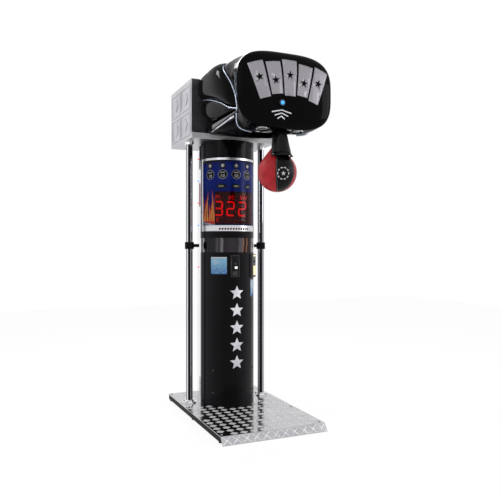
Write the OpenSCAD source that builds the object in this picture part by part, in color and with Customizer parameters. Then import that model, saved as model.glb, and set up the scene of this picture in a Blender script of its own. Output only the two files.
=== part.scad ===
// Boxing arcade machine: a round cabinet between two poles on a tread plate, with a head box and a giant
// glove that holds the swinging punch ball. Millimetres. The origin is on the column's axis at the floor,
// and the front faces -Y.

/* [Base] */
// Width of the tread plate
base_w = 650; // [600:5:750]
// Reach of the tread plate in front of the column's axis
base_front = 740; // [640:5:900]
// Reach of the tread plate behind the column's axis
base_back = 286; // [260:2:400]
// Height of the tread plate's top above the floor
base_h = 45; // [40:1:70]
// Thickness of the tread plate
plate_t = 4; // [3:0.5:6]
// How far the plate's front edge slopes forward on its way down
lip_run = 31; // [15:1:60]
// Height of the rubber feet
foot_h = 8; // [5:1:14]
// Width of the frame's steel tubes
rail_w = 30; // [28:1:40]
// Radius of a plate screw's head
plate_screw_r = 7; // [5:0.5:9]

/* [Column] */
// Outer radius of the cabinet
col_r = 182; // [178:1:192]
// Sheet thickness of the cabinet
col_wall = 2; // [1.5:0.1:3]
// Height of the cabinet's top above the floor
cabinet_top = 1037; // [1030:1:1060]
// Height of the mirror band
mirror_h = 93; // [80:1:120]
// Height of the black ring over the mirror band
ring_h = 44; // [30:1:60]
// Height of the display panel
panel_h = 476; // [470:1:500]
// Half of the display panel's angle round the column
panel_half_angle = 84; // [80:0.5:85]
// Half of the display window's angle
lens_half_angle = 46.5; // [40:0.5:50]
// Height of the display window
lens_h = 209; // [205:1:230]
// Height of the window's lower edge above the panel's lower edge
lens_rise = 48; // [42:1:60]
// Wall of the inner sleeve that joins cabinet and head
sleeve_wall = 3; // [2:0.5:5]
// Thickness of the panels round the sleeve
skin_t = 4.7; // [4:0.1:6]
// Width of the bright edge strips beside the column
strip_w = 40; // [30:1:46]
// Thickness of the bright edge strips
strip_t = 16; // [10:1:22]
// Radius of the small lights on the edge strips
light_r = 5; // [3:0.5:7]
// Outer radius of the five stars on the cabinet's front
star_r = 48; // [30:1:54]
// Distance between the stars' centres
star_pitch = 113; // [110:1:115]

/* [Poles] */
// Outer radius of the poles
pole_r = 22.25; // [18:0.25:26]
// Wall of the poles
pole_wall = 2.5; // [1.5:0.5:4]
// Distance of each pole from the middle
pole_x = 260; // [255:1:268]
// Distance of the poles behind the column's axis
pole_y = 12; // [0:1:20]
// Height of the tie rods above the floor
tie_z = 1081; // [1070:1:1100]
// Radius of the tie rods
tie_r = 11; // [8:0.5:14]

/* [Head box] */
// Height of the box's underside above the floor
head_z = 1765; // [1740:1:1800]
// Width of the box
head_w = 590; // [560:2:620]
// Depth of the box
head_d = 460; // [420:2:500]
// Height of the box
head_h = 380; // [375:1:420]
// Reach of the box in front of the column's axis
head_front_y = 140; // [120:1:160]
// Sheet thickness of the box
head_wall = 3; // [2:0.5:4]
// Width of the frame tubes in the box
tube_w = 25; // [20:1:30]
// Width and height of the beam that carries the ball
beam_w = 60; // [50:1:70]

/* [Ball] */
// Radius of the punch ball
ball_r = 109; // [100:1:115]
// Height of the ball's centre above the floor
ball_z = 1484; // [1470:1:1500]
// Height of the arm's pivot above the floor
pivot_z = 1790; // [1785:1:1795]
// Distance of the pivot in front of the column's axis
pivot_front = 770; // [760:1:775]
// Swing of the arm from hanging to caught
swing_deg = 95; // [60:1:95]
// Radius of the pivot shaft
shaft_r = 10; // [8:0.5:12]
// Radius of the arm tube
arm_r = 14; // [12:0.5:16]

/* [Cash and service] */
// Half of the service door's angle round the column
door_half_angle = 48; // [40:1:52]
// Height of the door opening's lower edge above the floor
door_z = 150; // [140:1:180]
// Height of the door opening
door_h = 750; // [600:1:760]
// Gap between the door and the cabinet
door_gap = 1.5; // [1:0.1:2.5]
// Azimuth of the coin plate from the front, towards +X
coin_az = -4; // [-8:1:4]
// Height of the coin plate's lower edge
coin_z = 877; // [860:1:885]
// Height of the coin plate
coin_h = 142; // [140:1:146]
// Azimuth of the note reader from the front, towards +X
reader_az = 48; // [44:1:54]
// Height of the note reader's lower edge
reader_z = 871; // [850:1:880]
// Height of the note reader
reader_h = 154; // [150:1:156]

/* [Glove] */
// Reach of the fist in front of the column's axis
fist_front = 910; // [890:1:930]
// Half of the fist's width
fist_half_w = 285; // [270:1:300]
// Height of the fist's underside above the floor
fist_z = 1700; // [1680:1:1710]
// Height of the fist with its shoulder
fist_h = 475; // [460:1:490]
// Wall of the glove
glove_wall = 7; // [5:0.5:10]
// Half of the width of the ball's slot under the glove
slot_half_w = 125; // [122:1:135]

/* [Fits] */
// Gap between curved or loose faces that seat on each other
seat = 0.3; // [0.2:0.05:0.5]
// Radial clearance of a shaft in its bore
running = 0.05; // [0.02:0.01:0.09]

/* [Hidden] */
$fn = 64;

// Heights of the column's parts
rail_h = base_h - plate_t - foot_h;
band_top = cabinet_top + mirror_h;
panel_z = band_top + ring_h;
panel_top = panel_z + panel_h;
sleeve_r = col_r - skin_t - seat;
sleeve_z = cabinet_top - 47;
skin_r = sleeve_r + seat;
lens_z = panel_z + lens_rise;
col_in = col_r - col_wall;

// Head box corners
head_top_z = head_z + head_h;
head_back_y = head_d - head_front_y;
head_x = head_w / 2;

// Swinging parts
pivot_y = -pivot_front;
hub_r = 18;
bracket_x = 75;
bracket_t = 6;
bracket_tail = 125;
bearing_w = 20;
bearing_r = 24;
catch_r = 60;
catch_x = 46;
catch_pin_r = 6;
catch_deg = -35;
latch_gap = 0.6;
latch_deg = 40;
beam_z = pivot_z + 170;

// Door
hinge_az = 180 + door_half_angle + 1;
hinge_r = col_r + 6;
knuckle_r = 5;
hinge_pin_r = 2.5;
hinge_zs = [door_z + 100, door_z + door_h - 130];
lock_az = 180 - door_half_angle + 8;
lock_r = 9;
lock_z = door_z + door_h / 2;

// Places of the small lights, alternately red and blue from the top
light_pitch = 146.5;
light_zs = [for (i = [0:3]) panel_top + 6 - i * light_pitch];
low_light_z = cabinet_top - 99;

// A ring section round the column's axis, between two azimuths from the front
module arc(r_in, r_out, z0, z1, az0 = -180, az1 = 180) {
    rotate([0, 0, az0 - 90])
        rotate_extrude(angle = az1 - az0)
            translate([r_in, z0])
                square([r_out - r_in, z1 - z0]);
}

// Turns its children from the front to an azimuth
module at(az) {
    rotate([0, 0, az])
        children();
}

// A box given by its corners
module block(lo, hi) {
    translate(lo)
        cube(hi - lo);
}

// A rod along Y, X or Z that starts at a point
module rod_y(p, r, l) {
    translate(p)
        rotate([-90, 0, 0])
            cylinder(r = r, h = l);
}
module rod_x(p, r, l) {
    translate(p)
        rotate([0, 90, 0])
            cylinder(r = r, h = l);
}
module rod_z(p, r, l) {
    translate(p)
        cylinder(r = r, h = l);
}

// An upright plate across X, drawn as a (y, z) outline
module slab_x(x, t, points) {
    translate([x, 0, 0])
        rotate([90, 0, 90])
            linear_extrude(t)
                polygon(points);
}

// Base
lip_foot = 1;
rail_x = base_w / 2 - 3 - rail_w;
cross_ys = [-base_front + 20, -(base_front - pole_y) / 2, -rail_w / 2, base_back - 6 - rail_w];
flange_r = 46;
flange_t = 6;
flange_bolt_ring = 38;
bolt_r = 4;
bolt_gap = 0.3;
flange_bolt_xy = [
    for (s = [-1, 1], a = [45:90:315])
        [s * pole_x + flange_bolt_ring * cos(a), pole_y + flange_bolt_ring * sin(a)]
];
plate_screw_xy = [
    for (s = [-1, 1], y = [-base_front + 35, -(base_front - pole_y) / 2 + rail_w / 2, base_back - 21])
        [s * (rail_x + rail_w / 2), y]
];
plate_screw_shank = 3;

module base_plate() {
    color("silver")
        difference() {
            slab_x(-base_w / 2, base_w, [
                [base_back, base_h], [-base_front, base_h], [-base_front - lip_run, lip_foot],
                [-base_front - lip_run + plate_t, lip_foot], [-base_front + plate_t / 2, base_h - plate_t],
                [base_back, base_h - plate_t]
            ]);
            for (p = flange_bolt_xy)
                rod_z([p.x, p.y, base_h - plate_t - 1], bolt_r + bolt_gap, plate_t + 2);
            for (p = plate_screw_xy)
                rod_z([p.x, p.y, base_h - plate_t - 1], plate_screw_shank + bolt_gap, plate_t + 2);
        }
}

module base_frame() {
    z1 = foot_h + rail_h;
    color("black")
        difference() {
            union() {
                for (s = [0, 1])
                    mirror([s, 0, 0])
                        block([rail_x, -base_front + 5, foot_h], [rail_x + rail_w, base_back - 3, z1]);
                for (y = cross_ys)
                    block([-rail_x - 1, y, foot_h], [rail_x + 1, y + rail_w, z1]);
            }
            for (p = flange_bolt_xy)
                rod_z([p.x, p.y, z1 - 15], bolt_r + bolt_gap, 16);
        }
}

module rubber_feet() {
    foot_r = rail_w / 2 - 1;
    middle_y = (base_back - base_front) / 2;
    color("dimgray") {
        for (s = [-1, 1], y = [-base_front + 40, middle_y, base_back - 30])
            rod_z([s * (rail_x + rail_w / 2), y, 0], foot_r, foot_h);
        rod_z([0, 0, 0], foot_r, foot_h);
    }
}

module plate_screws() {
    color("silver")
        for (p = plate_screw_xy) {
            rod_z([p.x, p.y, base_h - plate_t], plate_screw_shank, plate_t + 1);
            rod_z([p.x, p.y, base_h], plate_screw_r, 3);
        }
}

// Poles
module poles() {
    color("gainsboro")
        for (s = [-1, 1])
            translate([s * pole_x, pole_y, base_h])
                difference() {
                    cylinder(r = pole_r, h = head_z - base_h);
                    translate([0, 0, -1])
                        cylinder(r = pole_r - pole_wall, h = head_z - base_h + 2);
                }
}

module pole_ring(r_out, z, h) {
    for (s = [-1, 1])
        translate([s * pole_x, pole_y, z])
            difference() {
                cylinder(r = r_out, h = h);
                translate([0, 0, -1])
                    cylinder(r = pole_r + seat, h = h + 2);
            }
}

module pole_flanges() {
    top_ring_h = 18;
    color("silver")
        difference() {
            union() {
                pole_ring(flange_r, base_h, flange_t);
                pole_ring(pole_r + 8, base_h + flange_t - 1, 15);
                pole_ring(pole_r + 8, head_z - top_ring_h, top_ring_h);
            }
            for (p = flange_bolt_xy)
                rod_z([p.x, p.y, base_h - 1], bolt_r + bolt_gap, flange_t + 2);
        }
}

module flange_bolts() {
    color("gray")
        for (p = flange_bolt_xy) {
            rod_z([p.x, p.y, base_h - plate_t - 10], bolt_r, plate_t + flange_t + 11);
            translate([p.x, p.y, base_h + flange_t])
                cylinder(r = 6.5, h = 5, $fn = 6);
        }
}

// Collars on the poles with their rods into the column
collar_h = 46;
module pole_ties() {
    collar_r = pole_r + 8;
    color("black")
        difference() {
            union() {
                pole_ring(collar_r, tie_z - collar_h / 2, collar_h);
                for (s = [0, 1])
                    mirror([s, 0, 0])
                        rod_x([sleeve_r - 6, pole_y, tie_z], tie_r, pole_x - collar_r + 2 - sleeve_r + 6);
            }
            rod_z([0, 0, tie_z - 30], skin_r, 60);
        }
}

module tie_holes() {
    rod_x([-pole_x, pole_y, tie_z], tie_r + seat, 2 * pole_x);
}

// Column
cut_w = 50;
reader_cut = 58;
inlet_z = 95;
inlet_w = 84;
inlet_h = 36;
cabinet_screw_az = [-50, 50];
cabinet_screw_zs = [125, 269];

module cabinet_shell() {
    foot_flange = 30;
    color([0.08, 0.08, 0.09])
        difference() {
            union() {
                arc(col_in, col_r, base_h, cabinet_top);
                arc(col_in - foot_flange, col_in + 1, base_h, base_h + 4);
                arc(skin_r, col_in + 1, sleeve_z + 5, sleeve_z + 35);
            }
            arc(col_in - 10, col_r + 10, door_z, door_z + door_h,
                180 - door_half_angle, 180 + door_half_angle);
            at(coin_az)
                block([-cut_w / 2, -col_r - 5, coin_z + 3], [cut_w / 2, -col_r + 40, coin_z + coin_h - 3]);
            at(reader_az)
                block([-reader_cut / 2, -col_r - 5, reader_z + 8],
                    [reader_cut / 2, -col_r + 40, reader_z + reader_h - 8]);
            at(180)
                block([-inlet_w / 2 - seat, -col_r - 5, inlet_z - inlet_h / 2 - seat],
                    [inlet_w / 2 + seat, -col_r + 40, inlet_z + inlet_h / 2 + seat]);
            for (a = cabinet_screw_az, z = cabinet_screw_zs)
                at(a)
                    rod_y([0, -col_r - 5, z], plate_screw_shank + bolt_gap, 20);
        }
}

module cabinet_screws() {
    color("dimgray")
        for (a = cabinet_screw_az, z = cabinet_screw_zs)
            at(a) {
                rod_y([0, -col_r - 3.3, z], 6, 3);
                rod_y([0, -col_r - 1, z], plate_screw_shank, 12);
            }
}

module core_sleeve() {
    color("dimgray")
        difference() {
            arc(sleeve_r - sleeve_wall, sleeve_r, sleeve_z, head_z);
            arc(sleeve_r - 10, sleeve_r + 10, lens_z - 6, lens_z + lens_h + 6,
                -lens_half_angle - 0.5, lens_half_angle + 0.5);
            at(coin_az)
                block([-cut_w / 2, -col_r - 5, sleeve_z - 1], [cut_w / 2, -col_r + 60, coin_z + coin_h + 5]);
            at(reader_az)
                block([-reader_cut / 2, -col_r - 5, sleeve_z - 1],
                    [reader_cut / 2, -col_r + 60, reader_z + reader_h]);
        }
}

module mirror_band() {
    color([0.2, 0.2, 0.22])
        difference() {
            arc(skin_r, col_r - 1.5, cabinet_top, band_top);
            tie_holes();
        }
}

module lower_ring() {
    color("black")
        arc(skin_r, col_r + 1, band_top, panel_z);
}

module display_panel() {
    color([0.05, 0.12, 0.5])
        difference() {
            arc(skin_r, col_r, panel_z, panel_top, -panel_half_angle, panel_half_angle);
            arc(skin_r - 5, col_r + 5, lens_z, lens_z + lens_h, -lens_half_angle, lens_half_angle);
        }
}

module panel_frame() {
    low_strip_h = 38;
    top_strip_h = 14;
    side_deg = 4.5;
    face = col_r + seat;
    color("silver")
        difference() {
            arc(face, face + 1.7, panel_z + seat, panel_top, -panel_half_angle, panel_half_angle);
            arc(face - 5, face + 5, panel_z + low_strip_h, panel_top - top_strip_h,
                -panel_half_angle + side_deg, panel_half_angle - side_deg);
        }
}

module display_lens() {
    lens_t = 3;
    color([0.25, 0.02, 0.03, 0.6])
        arc(col_r - lens_t - 0.5, col_r - 0.5, lens_z + seat, lens_z + lens_h - seat,
            -lens_half_angle + 0.1, lens_half_angle - 0.1);
}

module top_band() {
    color([0.05, 0.05, 0.05])
        arc(skin_r, col_r, panel_top, head_z);
}

module edge_strips() {
    color("silver")
        difference() {
            for (s = [0, 1])
                mirror([s, 0, 0])
                    difference() {
                        block([col_r + 1 + seat, pole_y - strip_w / 2, base_h],
                            [col_r + strip_t, pole_y + strip_w / 2, head_z]);
                        block([col_r, pole_y - strip_w / 2 + 3, base_h + 3],
                            [col_r + strip_t - 3, pole_y + strip_w / 2 - 3, head_z - 3]);
                    }
            tie_holes();
        }
}

module strip_light(z) {
    for (s = [-1, 1])
        translate([s * (col_r + strip_t), pole_y, z])
            rotate([0, s * 90, 0]) {
                cylinder(r = light_r, h = 2);
                cylinder(r = light_r - 1.5, h = 4);
            }
}

module red_lights() {
    color("red") {
        strip_light(light_zs[0]);
        strip_light(light_zs[2]);
        strip_light(low_light_z);
    }
}

module blue_lights() {
    color("dodgerblue") {
        strip_light(light_zs[1]);
        strip_light(light_zs[3]);
    }
}

// Display
digit_plane = 60;
digit_pitch = 84;
digit_h = 100;
digit_w = 60;
small_digit_h = 26;
small_digit_w = 14;
small_pitch = 17;
small_group_x = 93;
digit_z = lens_z + lens_h / 2;
small_z = lens_z + lens_h - 29;
credit_z = lens_z + 29;
module_t = 10;

// Lit bars of the digits 0 to 9, in the order top, top right, low right, bottom, low left, top left, middle
bars = [
    [0, 1, 2, 3, 4, 5], [1, 2], [0, 1, 6, 4, 3], [0, 1, 6, 2, 3], [5, 6, 1, 2],
    [0, 5, 6, 2, 3], [0, 5, 4, 3, 2, 6], [0, 1, 2], [0, 1, 2, 3, 4, 5, 6], [0, 1, 2, 3, 5, 6]
];

// One bar of a digit, pointed at both ends, from the digit's lower left corner
module digit_bar(n, w, h, t) {
    a = t / 2;
    l = n == 0 || n == 3 || n == 6 ? w - t - 1 : h / 2 - t / 2 - 1;
    at_xy = [
        [t / 2 + 0.5, h - a], [w - a, h / 2 + 0.5], [w - a, t / 2 + 0.5], [t / 2 + 0.5, a],
        [a, t / 2 + 0.5], [a, h / 2 + 0.5], [t / 2 + 0.5, h / 2]
    ][n];
    translate(at_xy)
        rotate(n == 0 || n == 3 || n == 6 ? 0 : 90)
            polygon([[0, 0], [a, a], [l - a, a], [l, 0], [l - a, -a], [a, -a]]);
}

module digit(n, x, z, w, h, t) {
    face = 1;
    translate([x - w / 2, -digit_plane - module_t, z - h / 2])
        rotate([90, 0, 0])
            linear_extrude(face)
                for (b = bars[n])
                    digit_bar(b, w, h, t);
}

module small_group(numbers, x, z) {
    for (i = [0:len(numbers) - 1])
        digit(numbers[i], x + (i - (len(numbers) - 1) / 2) * small_pitch, z, small_digit_w, small_digit_h, 3);
}

module lit_segments() {
    color("red") {
        for (i = [0:2])
            digit([3, 2, 2][i], (i - 1) * digit_pitch, digit_z, digit_w, digit_h, 11);
        small_group([2, 4], -small_group_x, small_z);
        small_group([1, 2, 0], 0, small_z);
        small_group([6, 9, 9], small_group_x, small_z);
        small_group([0], -small_group_x, credit_z);
    }
}

module display_board() {
    board_w = 252;
    tray_y = digit_plane - 4;
    tray_w = 2 * sqrt(pow(sleeve_r - sleeve_wall - seat, 2) - tray_y * tray_y);
    color([0.1, 0.1, 0.1]) {
        block([-tray_w / 2, -tray_y, lens_z - 22], [tray_w / 2, -tray_y + 2, lens_z + lens_h + 24]);
        block([-board_w / 2, -digit_plane, lens_z - 10], [board_w / 2, -tray_y, lens_z + lens_h + 10]);
        for (i = [-1:1]) {
            block([i * digit_pitch - 38, -digit_plane - module_t, digit_z - 57],
                [i * digit_pitch + 38, -digit_plane + 1, digit_z + 57]);
            block([i * small_group_x - 29, -digit_plane - module_t, small_z - 17],
                [i * small_group_x + 29, -digit_plane + 1, small_z + 17]);
        }
        block([-small_group_x - 12, -digit_plane - module_t, credit_z - 17],
            [-small_group_x + 12, -digit_plane + 1, credit_z + 17]);
    }
}

module price_plate() {
    color([0.55, 0.75, 0.9])
        arc(col_r + seat, col_r + seat + 1.5, coin_z + 19, coin_z + 129, -55, -21);
}

// Coin entry
plate_arc = 9;
plate_out = col_r + 4;
slot_z = coin_z + 112;
return_button_z = coin_z + 86;
return_button_r = 7;
button_travel = 4;
lit_z = coin_z + 75;
cup_w = 34;
cup_z = coin_z + 8;
cup_h = 32;
flap_pin_r = 1.5;
flap_z = cup_z + cup_h - 4;
flap_y = -col_r - 1.5;
flap_deg = 60;
mech_back = 112;
chute_half_w = 14;
cash_box_h = 240;

module coin_plate() {
    lit_x = 6;
    color([0.15, 0.15, 0.16])
        difference() {
            arc(col_r + seat, plate_out, coin_z, coin_z + coin_h, coin_az - plate_arc, coin_az + plate_arc);
            at(coin_az) {
                block([-1.75, -col_r - 9, slot_z - 15], [1.75, -col_r + 9, slot_z + 15]);
                rod_y([0, -col_r - 9, return_button_z], return_button_r + seat, 18);
                block([lit_x - 9, -col_r - 9, lit_z - 21], [lit_x + 9, -col_r + 9, lit_z - 9]);
                block([-cup_w / 2, -col_r - 9, cup_z], [cup_w / 2, -col_r + 9, cup_z + cup_h]);
            }
        }
}

module coin_mech() {
    mech_front = col_r - 9;
    chute_t = 1.5;
    chute = [
        [-mech_front + 22, coin_z], [-mech_back - 2, coin_z], [-mech_back + 24, cash_box_h + base_h + 25],
        [-mech_back - 2, cash_box_h + base_h + 25]
    ];
    color([0.3, 0.3, 0.32])
        at(coin_az) {
            difference() {
                block([-cut_w / 2 + 3, -mech_front, coin_z + 5],
                    [cut_w / 2 - 3, -mech_back, coin_z + coin_h - 6]);
                block([-cup_w / 2, -mech_front - 1, cup_z], [cup_w / 2, -mech_front + 24, cup_z + cup_h]);
                rod_y([0, -mech_front - 1, return_button_z], return_button_r + seat, 18);
                block([-2, -mech_front - 1, slot_z - 16], [2, -mech_back - 20, slot_z + 16]);
            }
            for (x = [-cut_w / 2 - 6, cut_w / 2 - 3])
                block([x, -mech_front + 6, coin_z + 30], [x + 9, -mech_front + 9, coin_z + coin_h - 30]);
            difference() {
                slab_x(-chute_half_w, 2 * chute_half_w, [
                    [chute[0].x, coin_z + 5], [chute[1].x, coin_z + 5], chute[2], chute[3]
                ]);
                slab_x(-chute_half_w + chute_t, 2 * (chute_half_w - chute_t), [
                    [chute[0].x + chute_t, coin_z + 6], [chute[1].x - chute_t, coin_z + 6],
                    chute[2] - [chute_t, 1], chute[3] + [chute_t, -1]
                ]);
            }
        }
}

module coin_return_button() {
    color("silver")
        at(coin_az) {
            rod_y([0, -plate_out - button_travel - 2, return_button_z], return_button_r,
                button_travel + 2 + plate_out - col_r + 14);
        }
}

module coin_return_flap() {
    color("dimgray")
        at(coin_az)
            difference() {
                union() {
                    block([-cup_w / 2 + 0.5, flap_y - 1, cup_z + 1], [cup_w / 2 - 0.5, flap_y + 0.5, flap_z]);
                    rod_x([-cup_w / 2 + 0.5, flap_y, flap_z], flap_pin_r + 1.5, cup_w - 1);
                }
                rod_x([-cup_w, flap_y, flap_z], flap_pin_r + running, 2 * cup_w);
            }
}

module cash_box() {
    wall = 1.5;
    half_w = 84;
    front = 122;
    back = 48;
    top = base_h + cash_box_h;
    color([0.35, 0.35, 0.36]) {
        difference() {
            block([-half_w, -front, base_h], [half_w, back, top]);
            block([-half_w + wall, -front + wall, base_h + wall], [half_w - wall, back - wall, top + 1]);
        }
        difference() {
            block([-40, back - 1, top - 60], [40, back + 26, top - 50]);
            block([-32, back, top - 61], [32, back + 18, top - 49]);
        }
    }
}

note_slot_z = reader_z + 100;
note_slot_h = 8;
note_slot_half_w = 20;
reader_face_y = -col_r - 14;
module note_reader() {
    half_w = 32;
    color([0.1, 0.1, 0.11])
        difference() {
            union() {
                difference() {
                    at(reader_az)
                        block([-half_w, reader_face_y, reader_z], [half_w, -col_r + 12, reader_z + reader_h]);
                    rod_z([0, 0, reader_z - 1], col_r + seat, reader_h + 2);
                }
                at(reader_az)
                    block([-reader_cut / 2 + 2, -col_r - 8, reader_z + 10],
                        [reader_cut / 2 - 2, -col_r + 50, reader_z + reader_h - 10]);
            }
            at(reader_az) {
                block([-note_slot_half_w, reader_face_y - 1, note_slot_z],
                    [note_slot_half_w, -col_r + 40, note_slot_z + note_slot_h]);
                block([-note_slot_half_w, reader_face_y - 1, note_slot_z - 2],
                    [note_slot_half_w, reader_face_y + 3, note_slot_z + note_slot_h + 2]);
            }
        }
}

module reader_lights() {
    window_h = 62;
    strip_h = 10;
    light_t = 3;
    color("khaki")
        at(reader_az)
            for (s = [[14, window_h], [138, strip_h]])
                block([-note_slot_half_w, reader_face_y - light_t, reader_z + s[0]],
                    [note_slot_half_w, reader_face_y, reader_z + s[0] + s[1]]);
}

function star_points(r, n = 5) =
    [for (i = [0:2 * n - 1]) (i % 2 == 0 ? r : r * 0.45) * [sin(i * 180 / n), cos(i * 180 / n)]];

module front_stars() {
    star_t = 1.5;
    top_star_drop = 104;
    first_z = coin_z - top_star_drop - 4 * star_pitch;
    color("silver")
        for (i = [0:4])
            intersection() {
                translate([0, -col_r / 2, first_z + i * star_pitch])
                    rotate([90, 0, 0])
                        linear_extrude(col_r)
                            polygon(star_points(star_r));
                arc(col_r + seat, col_r + seat + star_t, first_z + i * star_pitch - star_r - 2,
                    first_z + i * star_pitch + star_r + 2, -40, 40);
            }
}

// Service door at the back
module knuckle(z, h, r_in) {
    at(hinge_az)
        difference() {
            rod_z([0, -hinge_r, z], knuckle_r, h);
            rod_z([0, -hinge_r, z - 1], r_in, h + 2);
        }
}

module service_door() {
    gap_deg = door_gap / col_r * 180 / PI;
    leaf_t = 2.5;
    color([0.08, 0.08, 0.09])
        difference() {
            union() {
                arc(col_in, col_r, door_z + door_gap, door_z + door_h - door_gap,
                    180 - door_half_angle + gap_deg, 180 + door_half_angle - gap_deg);
                for (z = hinge_zs) {
                    arc(col_r - 0.5, col_r + leaf_t, z, z + 30, hinge_az - 9, hinge_az - 1 - gap_deg);
                    at(hinge_az) {
                        block([-knuckle_r - 1, -hinge_r + 1, z], [-3, -col_r - 1, z + 30]);
                        rod_z([0, -hinge_r, z], knuckle_r, 30);
                    }
                }
            }
            for (z = hinge_zs)
                at(hinge_az)
                    rod_z([0, -hinge_r, z - 1], hinge_pin_r + running, 32);
            at(lock_az)
                rod_y([0, -col_r - 5, lock_z], lock_r + seat, 20);
        }
}

module door_hinges() {
    leaf_t = 2.5;
    color("silver")
        for (z = hinge_zs) {
            for (dz = [-20.3, 30.3])
                difference() {
                    union() {
                        arc(col_r + seat, col_r + leaf_t, z + dz, z + dz + 20, hinge_az + 0.6, hinge_az + 9);
                        at(hinge_az) {
                            block([3, -hinge_r + 1, z + dz], [knuckle_r + 1, -col_r - 1, z + dz + 20]);
                            rod_z([0, -hinge_r, z + dz], knuckle_r, 20);
                        }
                    }
                    at(hinge_az)
                        rod_z([0, -hinge_r, z + dz - 1], hinge_pin_r + running, 22);
                }
            at(hinge_az) {
                rod_z([0, -hinge_r, z - 22], hinge_pin_r, 72.4);
                rod_z([0, -hinge_r, z + 50.4], hinge_pin_r + 1.2, 2);
            }
        }
}

module door_lock() {
    color("silver")
        at(lock_az)
            difference() {
                union() {
                    rod_y([0, -col_r - 4, lock_z], lock_r + 2.5, 3);
                    rod_y([0, -col_r - 3, lock_z], lock_r, 24);
                    block([-7, -col_r + 20, lock_z - 8], [7, -col_r + 23, lock_z + 40]);
                }
                block([-0.8, -col_r - 5, lock_z - 4], [0.8, -col_r + 2, lock_z + 4]);
            }
}

// Electronics
module main_board() {
    plate_x = 140;
    z0 = 560;
    z1 = 780;
    half = sqrt(pow(col_in - seat, 2) - pow(plate_x + 2, 2));
    color("darkgreen") {
        block([-plate_x - 2, -half, z0], [-plate_x, half, z1]);
        block([-plate_x + 8, -half + 12, z0 + 10], [-plate_x + 10, half - 12, z1 - 10]);
        for (y = [-half + 20, half - 20], z = [z0 + 20, z1 - 20])
            rod_x([-plate_x - 1, y, z], 4, 10);
        for (i = [0:2])
            block([-plate_x + 9, -half + 35 + i * 50, z0 + 40],
                [-plate_x + 20, -half + 65 + i * 50, z0 + 90]);
        block([-plate_x + 9, -half + 35, z0 + 120], [-plate_x + 24, half - 35, z0 + 140]);
    }
}

module power_supply() {
    plate_x = 140;
    z0 = 330;
    half = sqrt(pow(col_in - seat, 2) - pow(plate_x + 2, 2));
    color("silver") {
        block([plate_x, -half, z0], [plate_x + 2, half, z0 + 190]);
        block([plate_x - 48, -half + 20, z0 + 15], [plate_x + 1, half - 20, z0 + 175]);
    }
}

// Mains inlet and switch, side by side under the door
switch_x = 22;
rocker_r = 10;
rocker_y = -col_r - 3;
module mains_inlet() {
    socket_w = 24;
    socket_h = 17;
    depth = 20;
    front = -col_r - 5;
    color([0.12, 0.12, 0.12])
        at(180)
            difference() {
                block([-inlet_w / 2, front, inlet_z - inlet_h / 2],
                    [inlet_w / 2, -col_r + 22, inlet_z + inlet_h / 2]);
                difference() {
                    block([-switch_x - socket_w / 2, front - 1, inlet_z - socket_h / 2],
                        [-switch_x + socket_w / 2, front + depth, inlet_z + socket_h / 2]);
                    for (p = [[-7, -2], [0, 2], [7, -2]])
                        block([-switch_x + p.x - 1, front + 8, inlet_z + p.y - 2],
                            [-switch_x + p.x + 1, front + depth + 1, inlet_z + p.y + 2]);
                }
                block([switch_x - 10, front - 1, inlet_z - rocker_r - 0.6],
                    [switch_x + 10, rocker_y + rocker_r + 1, inlet_z + rocker_r + 0.6]);
            }
}

module mains_switch() {
    color("red")
        at(180)
            intersection() {
                rod_x([switch_x - 9.7, rocker_y, inlet_z], rocker_r, 19.4);
                slab_x(switch_x - 9.7, 19.4, [
                    [rocker_y - 1, inlet_z - 11], [rocker_y - 3, inlet_z], [rocker_y - 6, inlet_z + 11],
                    [rocker_y + 11, inlet_z + 11], [rocker_y + 11, inlet_z - 11]
                ]);
            }
}

module loudspeaker() {
    plate_y = 0;
    plate_t = 4;
    half_w = 46;
    low = head_z - 110;
    top = head_z - 10;
    ear_x = sqrt(pow(sleeve_r - sleeve_wall - seat, 2) - plate_t * plate_t);
    color([0.12, 0.12, 0.12]) {
        block([-half_w, plate_y, low], [half_w, plate_y + plate_t, top]);
        block([-ear_x, plate_y, top - 20], [ear_x, plate_y + plate_t, top]);
        translate([0, plate_y, (low + top) / 2])
            rotate([90, 0, 0])
                difference() {
                    cylinder(r1 = 20, r2 = 42, h = 26);
                    translate([0, 0, 3])
                        cylinder(r1 = 18, r2 = 40, h = 26);
                }
    }
}

// Head box
module head_frame() {
    floor_z = head_z + head_wall;
    post_in = head_x - head_wall - seat;
    front = -head_front_y + head_wall + seat;
    back = head_back_y - head_wall - seat;
    top = head_top_z - head_wall;
    color("lightgray")
        difference() {
            union() {
                block([-post_in, -head_front_y, head_z], [post_in, head_back_y, floor_z]);
                for (s = [0, 1])
                    mirror([s, 0, 0]) {
                        for (y = [front, back - tube_w])
                            block([post_in - tube_w, y, head_z + 1], [post_in, y + tube_w, top]);
                        block([post_in - tube_w, front + 1, top - tube_w], [post_in, back - 1, top]);
                    }
                for (y = [front, back - tube_w])
                    block([-post_in + 1, y, beam_z - tube_w], [post_in - 1, y + tube_w, beam_z + 1]);
                difference() {
                    block([-beam_w / 2, pivot_y - 60, beam_z], [beam_w / 2, back, beam_z + beam_w]);
                    block([-beam_w / 2 + 4, pivot_y - 61, beam_z + 4],
                        [beam_w / 2 - 4, back + 1, beam_z + beam_w - 4]);
                }
            }
            rod_z([0, 100, head_z - 1], 20, head_wall + 2);
        }
}

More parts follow.
